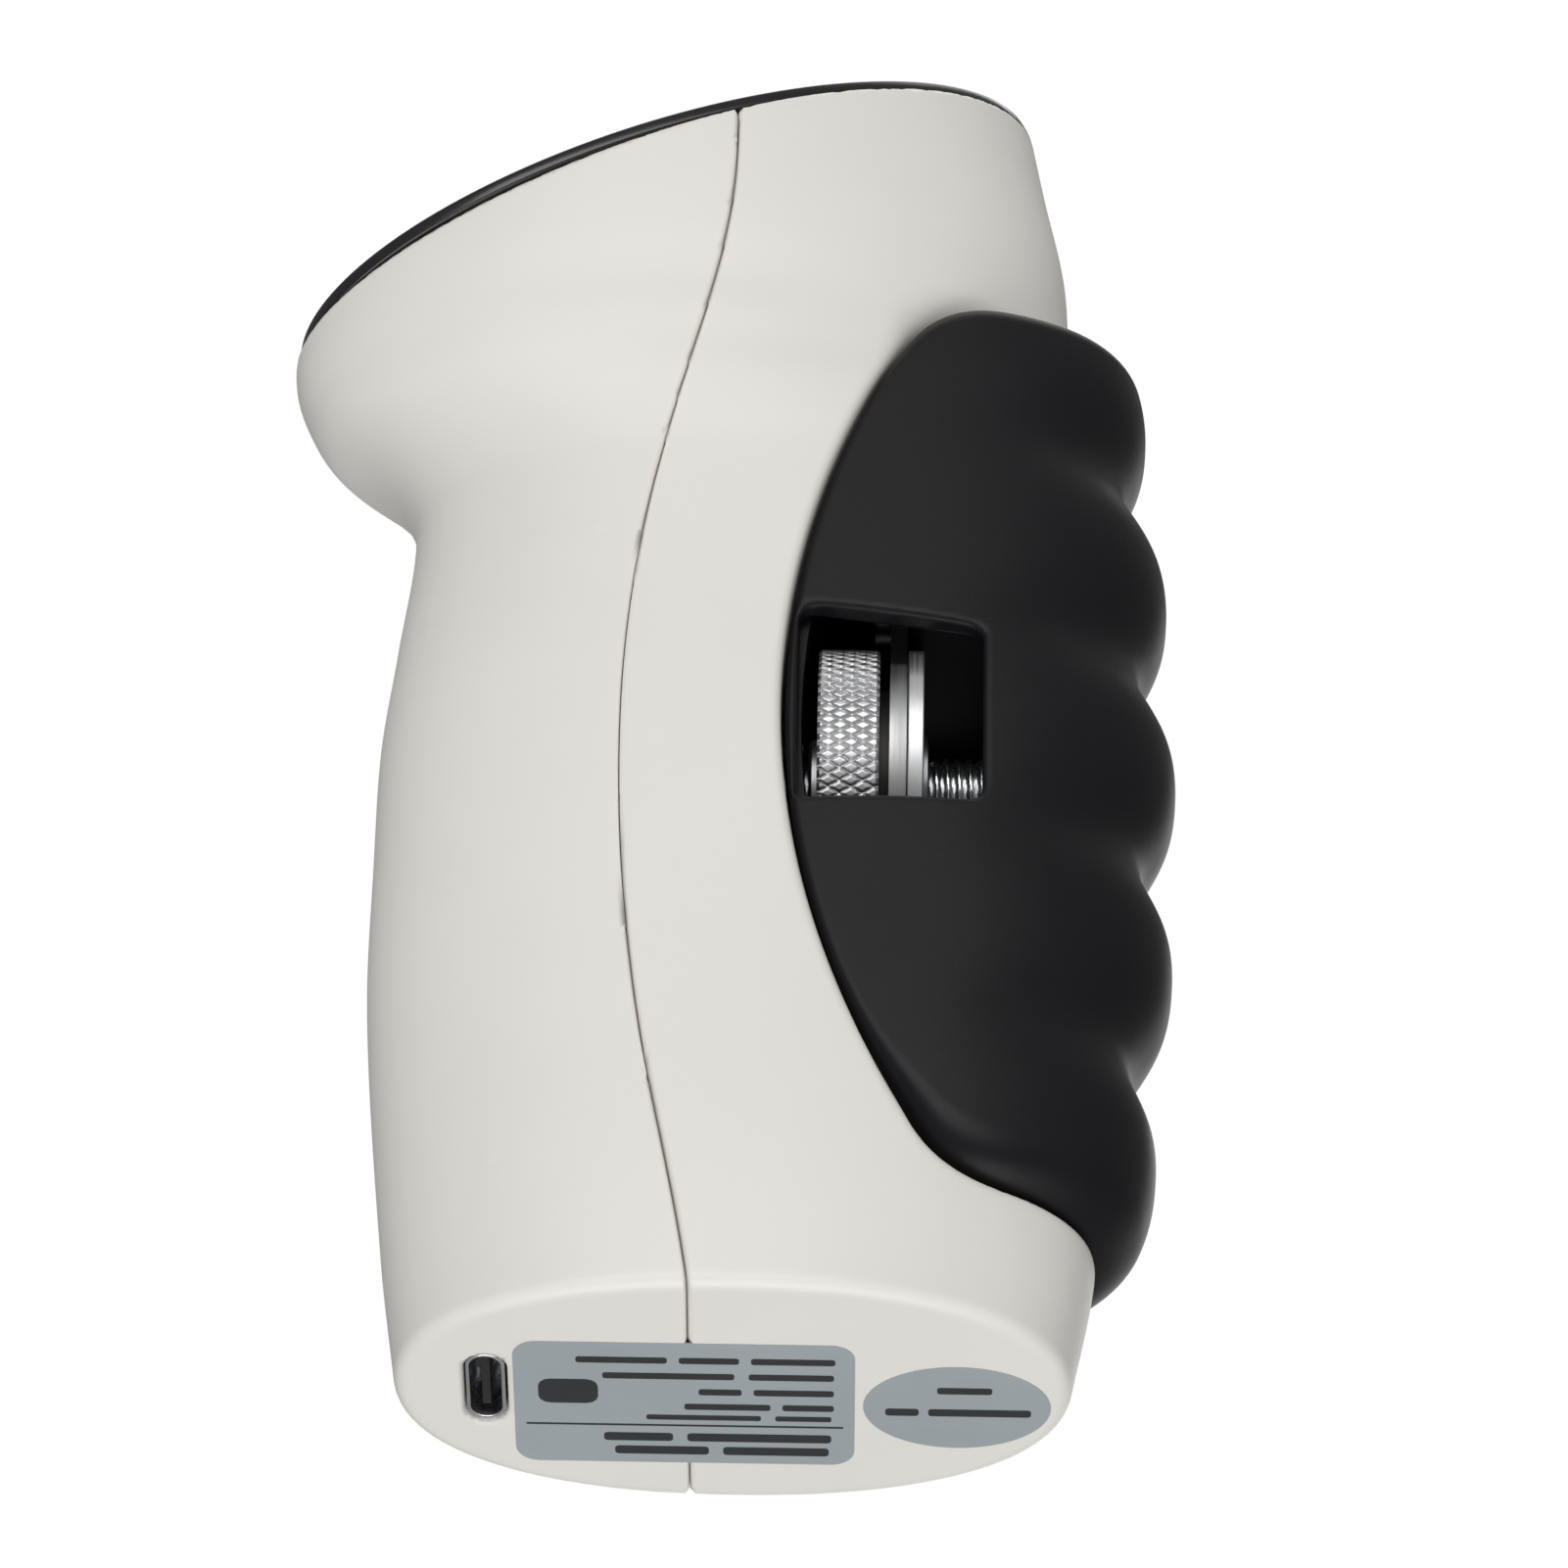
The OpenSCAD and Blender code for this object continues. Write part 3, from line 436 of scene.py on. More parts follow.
def net_vertices(value, grid):
    """One vertex in each grid cell that the surface crosses, and the cell numbers."""
    inside = value < 0
    shape = tuple(n - 1 for n in value.shape)
    corner = lambda a, o: a[o[0]:o[0] + shape[0], o[1]:o[1] + shape[1], o[2]:o[2] + shape[2]]
    count = sum(corner(inside, o).astype(np.int8) for o in CORNERS)
    cells = np.nonzero((count > 0) & (count < 8))
    number = np.full(shape, -1)
    number[cells] = np.arange(len(cells[0]))
    total = np.zeros((len(cells[0]), 3))
    hits = np.zeros(len(cells[0]))
    for a, b in EDGES:
        at_a = tuple(cells[n] + a[n] for n in range(3))
        at_b = tuple(cells[n] + b[n] for n in range(3))
        va, vb = value[at_a], value[at_b]
        cross = (va < 0) != (vb < 0)
        share = np.where(cross, va / np.where(cross, va - vb, 1), 0)[:, None]
        pa = np.stack([axis[at_a] for axis in grid], -1)
        pb = np.stack([axis[at_b] for axis in grid], -1)
        total += (pa + (pb - pa) * share) * cross[:, None]
        hits += cross
    return total / hits[:, None], number


def net_faces(value, number):
    """A quad across each grid edge that the surface crosses."""
    inside = value < 0
    faces = []
    for axis in range(3):
        u, v = [n for n in range(3) if n != axis]
        first = np.moveaxis(inside, (axis, u, v), (0, 1, 2))
        cells = np.moveaxis(number, (axis, u, v), (0, 1, 2))
        start, end = first[:-1, 1:-1, 1:-1], first[1:, 1:-1, 1:-1]
        i, j, k = np.nonzero(start != end)
        ring = np.stack([cells[i, j, k], cells[i, j + 1, k], cells[i, j + 1, k + 1], cells[i, j, k + 1]], -1)
        outward = start[i, j, k] == (axis != 1)
        faces.append(np.where(outward[:, None], ring, ring[:, ::-1]))
    return np.concatenate(faces)


def gradient(field, points, step=0.04):
    columns = []
    for axis in range(3):
        ahead, behind = points.copy(), points.copy()
        ahead[:, axis] += step
        behind[:, axis] -= step
        columns.append((field(ahead.T) - field(behind.T)) / (2 * step))
    return np.stack(columns, -1)


def settle(field, points, rounds=3, limit=0.3):
    """Moves points onto the surface of the field."""
    for _ in range(rounds):
        slope = gradient(field, points)
        size = np.maximum((slope * slope).sum(1), 0.05)
        move = -(field(points.T) / size)[:, None] * slope
        far = np.maximum(np.abs(move).max(1) / limit, 1)[:, None]
        points = points + move / far
    return points


def relax(points, faces, share=0.4):
    """Moves each point part of the way to the middle of its neighbours."""
    total, count = np.zeros_like(points), np.zeros(len(points))
    for a, b in ((0, 1), (1, 2), (2, 3), (3, 0)):
        for one, other in ((a, b), (b, a)):
            for axis in range(3):
                total[:, axis] += np.bincount(faces[:, one], points[faces[:, other], axis], len(points))
            count += np.bincount(faces[:, one], minlength=len(points))
    return points + (total / np.maximum(count, 1)[:, None] - points) * share


def moulded(name, field, grid):
    """Mesh object of a field's surface, with the field's own normals."""
    value = field(grid)
    points, number = net_vertices(value, grid)
    faces = net_faces(value, number)
    if not len(faces):
        raise RuntimeError(f"{name} has no surface on its grid")
    points = settle(field, points, 2)
    points = settle(field, relax(points, faces), 3)
    slope = gradient(field, points)
    normals = slope / np.maximum(np.linalg.norm(slope, axis=1), 1e-6)[:, None]
    mesh = bpy.data.meshes.new(name)
    mesh.from_pydata((points * MM).tolist(), [], faces.tolist())
    mesh.validate()
    mesh.shade_smooth()
    mesh.normals_split_custom_set_from_vertices(normals.tolist())
    return add(name, mesh)


def spread(x, y, z):
    """Grid from columns of x for each z, and straight y and z."""
    return np.broadcast_arrays(x[:, None, :], y[None, :, None], z[None, None, :])


def warped_grid(form, x0, x1, z0, z1, half_y, cell):
    """Grid whose planes follow the seam and the waist, so that both come out as clean lines."""
    nz0 = math.ceil((form.h.foot_h - z0) / cell)
    step = 2 * form.half / round(2 * form.half / cell)
    z = form.h.foot_h + step * np.arange(-nz0, math.ceil((z1 - form.h.foot_h) / step) + 1)
    ny = math.ceil(half_y / cell)
    y = np.arange(-ny, ny + 1) * cell
    knots = np.array([x0, -11.2, form.g.waist_x, x1])
    counts = [max(1, round((b - a) / cell)) for a, b in zip(knots, knots[1:])]
    seam, waist = form.seam(z), form.waist(z)
    limits = [np.full_like(z, x0), seam, waist, np.full_like(z, x1)]
    lines = [np.linspace(a, b, n, endpoint=False) for a, b, n in zip(limits, limits[1:], counts)]
    x = np.concatenate(lines + [limits[-1][None]])
    return spread(x, y, z)


def grip_grid(form, cell):
    """Grid whose planes follow the edge of the grip."""
    z = np.arange(GRIP_LOW[2] - 2 * cell, GRIP_HIGH[2] + 2 * cell, cell)
    ny = math.ceil(GRIP_HIGH[1] / cell) + 1
    y = np.arange(-ny, ny + 1) * cell
    start, end = form.waist(z) + form.g.gap, GRIP_HIGH[0] + 2 * cell
    count = round((end - form.g.waist_x) / cell)
    share = np.arange(-3, count + 1)[:, None] / count
    x = start[None] + (end - start)[None] * share
    return spread(x, y, z)


# Other mesh helpers

def add(name, mesh):
    piece = bpy.data.objects.new(name, mesh)
    bpy.context.scene.collection.objects.link(piece)
    return piece


def lathe(rings):
    """Points and faces of a closed row of rings, given as (ring, step, xyz)."""
    rows, around = rings.shape[:2]
    faces = [(i * around + k, i * around + (k + 1) % around, (i + 1) % rows * around + (k + 1) % around,
              (i + 1) % rows * around + k) for i in range(rows) for k in range(around)]
    return (rings.reshape(-1, 3) * MM).tolist(), [], faces


def turned(name, profile, around=96, relief=None):
    """Solid turned about the stud's axis. Profile points are (x, radius), closed on themselves."""
    profile = np.array(profile, float)
    angle = np.arange(around) * 2 * math.pi / around
    x = np.repeat(profile[:, :1], around, 1)
    radius = np.repeat(profile[:, 1:2], around, 1)
    if relief is not None:
        radius = radius + relief(x, radius, angle[None])
    mesh = bpy.data.meshes.new(name)
    rings = np.stack([x, STUD[1] + radius * np.cos(angle), STUD[2] + radius * np.sin(angle)], -1)
    mesh.from_pydata(*lathe(rings))
    mesh.validate()
    crisp(mesh)
    return add(name, mesh)


def crisp(mesh, angle=math.radians(38)):
    """Smooth shading that keeps edges sharper than the angle."""
    mesh.shade_smooth()
    mesh.set_sharp_from_angle(angle=angle)


def ellipse(a, b, count=96, x=0.0, y=0.0):
    turn = np.arange(count) * 2 * math.pi / count
    return np.stack([x + a * np.cos(turn), y + b * np.sin(turn)], -1)


def round_rect(length_x, length_y, radius, x=0.0, y=0.0, steps=8):
    points = []
    for quarter, (sx, sy) in enumerate(((1, 1), (-1, 1), (-1, -1), (1, -1))):
        for step in range(steps + 1):
            turn = math.pi / 2 * (quarter + step / steps)
            points.append((x + sx * (length_x / 2 - radius) + radius * math.cos(turn),
                           y + sy * (length_y / 2 - radius) + radius * math.sin(turn)))
    return np.array(points)


def plate(name, outlines, z0, z1, bevel=0.0, place=Matrix.Identity(4)):
    """Flat piece with holes: outlines in millimetres, from z0 to z1, edges eased by bevel."""
    curve = bpy.data.curves.new(name, "CURVE")
    curve.dimensions = "2D"
    curve.fill_mode = "BOTH"
    for outline in outlines:
        line = curve.splines.new("POLY")
        line.points.add(len(outline) - 1)
        line.points.foreach_set("co", np.c_[outline * MM, np.zeros(len(outline)),
                                            np.ones(len(outline))].ravel())
        line.use_cyclic_u = True
    curve.extrude = (z1 - z0) / 2 * MM - bevel * MM
    curve.bevel_depth = bevel * MM
    curve.bevel_resolution = 2
    curve.offset = -bevel * MM
    holder = bpy.data.objects.new(name, curve)
    bpy.context.scene.collection.objects.link(holder)
    bpy.context.view_layer.update()
    mesh = bpy.data.meshes.new_from_object(holder.evaluated_get(bpy.context.evaluated_depsgraph_get()))
    bpy.data.objects.remove(holder)
    bpy.data.curves.remove(curve)
    mesh.transform(place @ Matrix.Translation((0, 0, (z0 + z1) / 2 * MM)))
    crisp(mesh)
    mesh.name = name
    return add(name, mesh)


def join(name, pieces):
    """One piece from several, each keeping its material."""
    with bpy.context.temp_override(active_object=pieces[0], selected_editable_objects=pieces):
        bpy.ops.object.join()
    pieces[0].name = name
    return pieces[0]


def painted(piece, key):
    piece.data.materials.append(paint(key))
    return piece


def finish(piece, body, slot, cad_node):
    """Attaches a piece to its body, paints it with the slot's finish where it has none, and hides its CAD
    node.
    """
    if not piece.data.materials:
        painted(piece, slot)
    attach(piece, body)
    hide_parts(cad_node)


# Shader node groups

def new_group(name, inputs, outputs):
    group = bpy.data.node_groups.new(name, "ShaderNodeTree")
    for label, default in inputs:
        socket = group.interface.new_socket(label, in_out="INPUT", socket_type="NodeSocketFloat")
        socket.default_value = default
    for label in outputs:
        group.interface.new_socket(label, in_out="OUTPUT", socket_type="NodeSocketFloat")
    source = group.nodes.new("NodeGroupInput")
    target = group.nodes.new("NodeGroupOutput")
    return group, source, target


def link(tree, start, end):
    tree.links.new(start, end)


def node(tree, kind, operation=None, **inputs):
    made = tree.nodes.new(kind)
    if operation:
        made.operation = operation
    for label, value in inputs.items():
        socket = made.inputs[int(label[1:]) if label[0] == "i" and label[1:].isdigit() else label]
        if isinstance(value, bpy.types.NodeSocket):
            link(tree, value, socket)
        else:
            socket.default_value = value
    return made


def grain_group():
    """Moulded grain: fine spark-eroded bumps, and slow patches that the hand leaves."""
    group, source, target = new_group("moulded_grain", [("Scale", 1400.0), ("Patch Scale", 60.0)],
                                      ["Height", "Patch"])
    place = node(group, "ShaderNodeTexCoord").outputs["Object"]
    fine = node(group, "ShaderNodeTexNoise", Vector=place, Scale=source.outputs["Scale"], Detail=3.0)
    cells = node(group, "ShaderNodeTexVoronoi", Vector=place, Scale=source.outputs["Scale"])
    slow = node(group, "ShaderNodeTexNoise", Vector=place, Scale=source.outputs["Patch Scale"], Detail=4.0,
                Roughness=0.6)
    height = node(group, "ShaderNodeMath", "MULTIPLY", i0=fine.outputs[0], i1=cells.outputs["Distance"])
    link(group, height.outputs[0], target.inputs["Height"])
    link(group, slow.outputs[0], target.inputs["Patch"])
    return group


def wear_group():
    """Edge wear: a mask along outer edges, broken up by noise."""
    group, source, target = new_group("edge_wear", [("Amount", 0.5), ("Break Up", 300.0)], ["Mask"])
    edge = node(group, "ShaderNodeNewGeometry").outputs["Pointiness"]
    place = node(group, "ShaderNodeTexCoord").outputs["Object"]
    noise = node(group, "ShaderNodeTexNoise", Vector=place, Scale=source.outputs["Break Up"], Detail=3.0)
    above = node(group, "ShaderNodeMapRange", Value=edge)
    above.inputs["From Min"].default_value = 0.52
    above.inputs["From Max"].default_value = 0.62
    broken = node(group, "ShaderNodeMath", "MULTIPLY", i0=above.outputs[0], i1=noise.outputs[0])
    mask = node(group, "ShaderNodeMath", "MULTIPLY", i0=broken.outputs[0], i1=source.outputs["Amount"])
    mask.use_clamp = True
    link(group, mask.outputs[0], target.inputs["Mask"])
    return group


def brushed_group():
    """Tool marks: fine lines across one direction, with slow variation."""
    group, source, target = new_group("tool_marks", [("Along", 60.0), ("Across", 4000.0), ("Round", 60.0)],
                                      ["Height", "Tone"])
    place = node(group, "ShaderNodeTexCoord").outputs["Object"]
    scale = node(group, "ShaderNodeCombineXYZ", X=source.outputs["Across"], Y=source.outputs["Along"],
                 Z=source.outputs["Round"])
    stretched = node(group, "ShaderNodeVectorMath", "MULTIPLY", i0=place, i1=scale.outputs[0])
    lines = node(group, "ShaderNodeTexNoise", Vector=stretched.outputs[0], Scale=1.0, Detail=4.0)
    slow = node(group, "ShaderNodeTexNoise", Vector=place, Scale=120.0, Detail=3.0)
    link(group, lines.outputs[0], target.inputs["Height"])
    link(group, slow.outputs[0], target.inputs["Tone"])
    return group


GROUPS = {}


def group(name):
    """The shared node group of that name, built once."""
    makers = {"moulded_grain": grain_group, "edge_wear": wear_group, "tool_marks": brushed_group}
    if name not in GROUPS:
        GROUPS[name] = makers[name]()
    return GROUPS[name]


def place_group(tree, name, **inputs):
    made = tree.nodes.new("ShaderNodeGroup")
    made.node_tree = group(name)
    for label, value in inputs.items():
        made.inputs[label.replace("_", " ")].default_value = value
    return made


# Materials

def shader(name):
    material = bpy.data.materials.new(name)
    material.use_nodes = True
    return material, material.node_tree, material.node_tree.nodes["Principled BSDF"]


def shade(tone, factor):
    return tuple(min(1.0, v * factor) for v in tone) + (1.0,)


def ranged(tree, value, low, high, start=0.3, end=0.7):
    made = node(tree, "ShaderNodeMapRange", Value=value)
    for label, number in (("From Min", start), ("From Max", end), ("To Min", low), ("To Max", high)):
        made.inputs[label].default_value = number
    return made.outputs[0]


def blend_colours(tree, share, low, high):
    made = tree.nodes.new("ShaderNodeMix")
    made.data_type = "RGBA"
    link(tree, share, made.inputs["Factor"])
    for socket, value in ((made.inputs["A"], low), (made.inputs["B"], high)):
        if isinstance(value, bpy.types.NodeSocket):
            link(tree, value, socket)
        else:
            socket.default_value = value
    return made.outputs["Result"]


def bump(tree, bsdf, height, distance, strength=1.0):
    made = node(tree, "ShaderNodeBump", Height=height)
    made.inputs["Distance"].default_value = distance * MM
    made.inputs["Strength"].default_value = strength
    link(tree, made.outputs[0], bsdf.inputs["Normal"])


def worn_colour(tree, bsdf, patch, tone, variation, wear, bright):
    """Base colour with slow patches of tone and rubbed edges."""
    rubbed = place_group(tree, "edge_wear", Amount=wear)
    share = ranged(tree, patch, 0.0, 1.0)
    base = blend_colours(tree, share, shade(tone, 1 - variation), shade(tone, 1 + variation))
    edge = blend_colours(tree, rubbed.outputs["Mask"], base, shade(tone, bright))
    link(tree, edge, bsdf.inputs["Base Color"])


def plastic(name, tone, rough, grain=1400.0, depth=0.02, wear=0.3, variation=0.04, gloss=0.5):
    """Moulded plastic: grain, slight patches of tone and polish, and rubbed edges."""
    material, tree, bsdf = shader(name)
    texture = place_group(tree, "moulded_grain", Scale=grain)
    worn_colour(tree, bsdf, texture.outputs["Patch"], tone, variation, wear, 1.25)
    link(tree, ranged(tree, texture.outputs["Patch"], rough - 0.05, rough + 0.05), bsdf.inputs["Roughness"])
    bsdf.inputs["Specular IOR Level"].default_value = gloss
    bump(tree, bsdf, texture.outputs["Height"], depth, 0.5)
    return material


def metal(name, tone, rough, across=4000.0, along=60.0, depth=0.004, variation=0.08):
    """Machined metal: fine tool marks, uneven polish and bright edges."""
    material, tree, bsdf = shader(name)
    marks = place_group(tree, "tool_marks", Across=across, Along=along, Round=along)
    worn_colour(tree, bsdf, marks.outputs["Tone"], tone, variation, 0.8, 1.2)
    link(tree, ranged(tree, marks.outputs["Height"], rough - 0.06, rough + 0.08), bsdf.inputs["Roughness"])
    bsdf.inputs["Metallic"].default_value = 1.0
    bump(tree, bsdf, marks.outputs["Height"], depth, 0.6)
    return material


def glass(name, tone):
    """Clear window with a faint tint and finger marks."""
    material, tree, bsdf = shader(name)
    texture = place_group(tree, "moulded_grain", Scale=500.0)
    link(tree, ranged(tree, texture.outputs["Patch"], 0.03, 0.12), bsdf.inputs["Roughness"])
    bsdf.inputs["Base Color"].default_value = shade(tone, 1.0)
    bsdf.inputs["Transmission Weight"].default_value = 1.0
    bsdf.inputs["IOR"].default_value = 1.2
    return material


def board(name, tone):
    """Lacquered circuit board with copper lines showing through."""
    material, tree, bsdf = shader(name)
    place = node(tree, "ShaderNodeTexCoord").outputs["Object"]
    lines = node(tree, "ShaderNodeTexBrick", Vector=place, Scale=420.0)
    lines.inputs["Mortar Size"].default_value = 0.03
    base = blend_colours(tree, lines.outputs["Fac"], shade(tone, 1.0), shade(tone, 1.9))
    link(tree, base, bsdf.inputs["Base Color"])
    texture = place_group(tree, "moulded_grain", Scale=900.0)
    link(tree, ranged(tree, texture.outputs["Patch"], 0.22, 0.36), bsdf.inputs["Roughness"])
    bump(tree, bsdf, lines.outputs["Fac"], 0.03)
    return material


# Finishes: maker, colour and the maker's own values
FINISHES = {
    "shell_white": (plastic, "shell", 0.42, 2200.0, 0.012, 0.15, 0.012, 0.42),
    "grip_black": (plastic, "grip", 0.44, 1900.0, 0.02, 0.25, 0.10, 0.17),
    "plate_black": (plastic, "plate", 0.22, 1500.0, 0.004, 0.3, 0.05),
    "window_clear": (glass, "window"),
    "lcd_grey": (plastic, "lcd", 0.3, 3000.0, 0.002, 0.0, 0.03),
    "lcd_ink": (plastic, "label_ink", 0.35, 3000.0, 0.002, 0.0, 0.05),
    "diffuser_white": (plastic, "shell", 0.5, 900.0, 0.02),
    "flex_amber": (plastic, "amber", 0.3, 900.0, 0.005),
    "rubber_dark": (plastic, "rubber", 0.72, 1200.0, 0.03, 0.1, 0.1),
    "button_orange": (plastic, "power", 0.44, 1600.0, 0.015, 0.5),
    "button_grey": (plastic, "select", 0.44, 1600.0, 0.015, 0.5),
    "button_green": (plastic, "start", 0.44, 1600.0, 0.015, 0.5),
    "board_green": (board, "board"),
    "chip_black": (plastic, "plate", 0.5, 1500.0, 0.01, 0.2),
    "cell_foil": (metal, "steel", 0.34, 300.0, 300.0, 0.02),
    "tray_black": (plastic, "rubber", 0.5, 1200.0, 0.02, 0.3),
    "connector_steel": (metal, "steel", 0.24, 900.0, 900.0),
    "cell_aluminium": (metal, "steel", 0.36, 60.0, 3500.0, 0.006),
    "plate_steel": (metal, "dark_steel", 0.4, 60.0, 2500.0, 0.006),
    "screw_steel": (metal, "dark_steel", 0.32, 2500.0),
    "stud_steel": (metal, "steel", 0.2, 5000.0),
    "knurl_steel": (metal, "knurl", 0.38, 3000.0, 200.0, 0.006, 0.12),
    "ring_steel": (metal, "ring", 0.42, 6000.0),
    "bronze": (metal, "brass", 0.34, 4000.0),
    "washer_dark": (metal, "washer", 0.5, 4000.0),
    "spine_dark": (metal, "spine", 0.46, 4000.0),
    "label_grey": (plastic, "label", 0.42, 2600.0, 0.006, 0.1, 0.03),
    "label_ink": (plastic, "label_ink", 0.5, 2600.0, 0.004, 0.0, 0.05)}
MADE = {}


def paint(key):
    """The finish of that name, made once."""
    if key not in MADE:
        maker, tone, *values = FINISHES[key]
        MADE[key] = maker(key, getattr(bpy.context.scene.dyno_colours, tone), *values)
    return MADE[key]


# Operators, one for each piece or group of like pieces

def form():
    return Form(bpy.context.scene)


def mesh_step(cell):
    return cell * 1.0


class DYNO_OT_housing(bpy.types.Operator):
    """Mesh the two moulded shells of the housing"""
    bl_idname = "dyno.housing"
    bl_label = "Housing shells"

    def execute(self, context):
        shape = form()
        cell = mesh_step(shape.h.cell)
        grid = warped_grid(shape, BODY_LOW[0] - 1.5, 33.0, -1.5, BEZEL_HIGH[2] + 1.5,
                           shape.h.head_t / 2 + 1.5, cell)
        for name, field in (("rear_shell", shape.rear), ("front_shell", shape.front)):
            finish(moulded(name, field, grid), "housing", "shell_white", name.replace("shell", "housing"))
        return {"FINISHED"}


class DYNO_OT_display(bpy.types.Operator):
    """Make the black plate, the window and the display with its digits"""
    bl_idname = "dyno.display"
    bl_label = "Display"

    def execute(self, context):
        shape = form()
        d, place = shape.d, shape.display_frame()
        slack = 0.1
        holes = [round_rect(d.window_l + 2 * slack, d.window_w + 2 * slack, 2.0, d.window_x)[::-1],
                 ellipse(d.start_r + 0.3, d.start_r + 0.3, 64, d.start_x)[::-1]]
        for side in (-1, 1):
            holes.append(ellipse(d.button_r + 0.3, d.button_r + 0.3, 64, d.button_x, side * d.button_y)[::-1])
        rim = [ellipse(shape.plate_a, shape.plate_b, 160)]
        black = plate("display_plate", rim + holes, -d.plate_t - d.reveal, 0, 0.22, place)
        finish(black, "housing", "plate_black", "display_bezel")
        pane = plate("window_pane", [round_rect(d.window_l, d.window_w, 1.9, d.window_x)],
                     -d.plate_t, -0.05, 0.12, place)
        finish(pane, "housing", "window_clear", "display_window")
        panel = plate("display_glass", [round_rect(d.window_l + 2, d.window_w + 2, 0.4, d.window_x)],
                      -d.plate_t - 1.9, -d.plate_t - 0.15, 0.1, place)
        module = join("lcd_module", [painted(panel, "lcd_grey"), painted(digits(d, place), "lcd_ink")])
        finish(module, "housing", "lcd_grey", "lcd_panel")
        return {"FINISHED"}


def bar(x0, y0, x1, y1):
    return round_rect(x1 - x0, y1 - y0, min(x1 - x0, y1 - y0) * 0.3, (x0 + x1) / 2, (y0 + y1) / 2, 3)


def segment(letter, across, up, wide, tall, thick):
    """One bar of a seven-segment digit whose top points up the slope."""
    half, end = tall / 2, thick + 0.08
    spans = {"a": (tall - thick, end, tall, wide - end), "d": (0, end, thick, wide - end),
             "g": (half - thick / 2, end, half + thick / 2, wide - end),
             "f": (half + 0.06, 0, tall - 0.2, thick), "e": (0.2, 0, half - 0.06, thick),
             "b": (half + 0.06, wide - thick, tall - 0.2, wide),
             "c": (0.2, wide - thick, half - 0.06, wide)}
    x0, y0, x1, y1 = spans[letter]
    return bar(up + x0, across - y1, up + x1, across - y0)


def digits(d, place):
    """Digits and a row of small marks on the display."""
    wide, tall, thick, pitch = 3.3, 7.6, 0.62, 4.35
    start = 8.6
    level = -d.plate_t - 0.1
    outlines = []
    for place_number in range(4):
        across = start - place_number * pitch - (0.9 if place_number == 3 else 0)
        outlines += [segment(s, across, d.window_x - 3.4, wide, tall, thick) for s in "abcdef"]
    outlines.append(ellipse(0.42, 0.42, 16, d.window_x - 3.0, start - 3 * pitch + 0.05))
    for step in range(5):
        outlines.append(bar(d.window_x - 9.5, 6.6 - 3 * step, d.window_x - 8.4, 8.6 - 3 * step))
    outlines.append(bar(d.window_x + 9.0, -7.8, d.window_x + 10.2, -5.2))
    return plate("lcd_ink", outlines, level - 0.02, level + 0.02, 0.0, place)


class DYNO_OT_buttons(bpy.types.Operator):
    """Make the three buttons with dished tops and raised marks"""
    bl_idname = "dyno.buttons"
    bl_label = "Buttons"

    def execute(self, context):
        shape = form()
        d = shape.d
        rows = (("power", d.button_x, -d.button_y, d.button_r, "button_orange"),
                ("select", d.button_x, d.button_y, d.button_r, "button_grey"),
                ("start", d.start_x, 0.0, d.start_r, "button_green"))
        for name, x, y, radius, tone in rows:
            cap = button_cap(f"{name}_cap", radius, d)
            mark = button_mark(f"{name}_mark", name, d)
            piece = join(f"{name}_key_cap", [painted(cap, tone), painted(mark, "diffuser_white")])
            piece.data.transform(shape.display_frame() @ Matrix.Translation((x * MM, y * MM, 0)))
            finish(piece, f"{name}_key", tone, f"{name}_button")
        return {"FINISHED"}


def button_cap(name, radius, d):
    """Turned button: flange, straight side, rounded rim and dished top."""
    flange = 0.8
    low = -d.plate_t - flange - 0.3
    rim = [(radius - 0.35 * (1 - math.cos(t)), d.proud - 0.35 + 0.35 * math.sin(t))
           for t in np.linspace(0, math.pi / 2, 6)]
    dish = [(radius * s, d.proud - 0.28 * (1 - (s / 0.9) ** 2)) for s in (0.88, 0.7, 0.5, 0.3, 0.12)]
    side = [(0.0, low), (radius + 0.9, low), (radius + 0.9, low + flange), (radius, low + flange)]
    profile = np.array(side + rim + dish + [(0.0, d.proud - 0.28)])
    turn = np.arange(64) * 2 * math.pi / 64
    height = np.repeat(profile[:, 1:], len(turn), 1)
    mesh = bpy.data.meshes.new(name)
    rings = np.stack([profile[:, :1] * np.cos(turn), profile[:, :1] * np.sin(turn), height], -1)
    points, edges, faces = lathe(rings)
    mesh.from_pydata(points, edges, faces[:-len(turn)])
    merge(mesh)
    crisp(mesh)
    return add(name, mesh)


def merge(mesh):
    """Closes a mesh where points lie together."""
    work = bmesh.new()
    work.from_mesh(mesh)
    bmesh.ops.remove_doubles(work, verts=work.verts, dist=1e-6)
    bmesh.ops.recalc_face_normals(work, faces=work.faces)
    work.to_mesh(mesh)
    work.free()


def button_mark(name, kind, d):
    """A plain mark: a broken ring and bar, three bars, or a triangle."""
    top = d.proud - 0.2
    if kind == "power":
        turn = np.linspace(math.radians(40), math.radians(320), 40)
        ring = [(r * np.cos(t), r * np.sin(t)) for r, ts in ((1.7, turn), (1.3, turn[::-1])) for t in ts]
        shapes = [np.array(ring), bar(0.5, -0.2, 2.1, 0.2)]
    elif kind == "select":
        shapes = [bar(-1.3, -1.5, -0.8, 1.5), bar(-0.25, -1.5, 0.25, 1.5), bar(0.8, -1.5, 1.3, 1.5)]
    else:
        shapes = [np.array([(-1.2, -1.5), (2.0, 0.0), (-1.2, 1.5)])]
    return plate(name, shapes, top - 0.3, top)


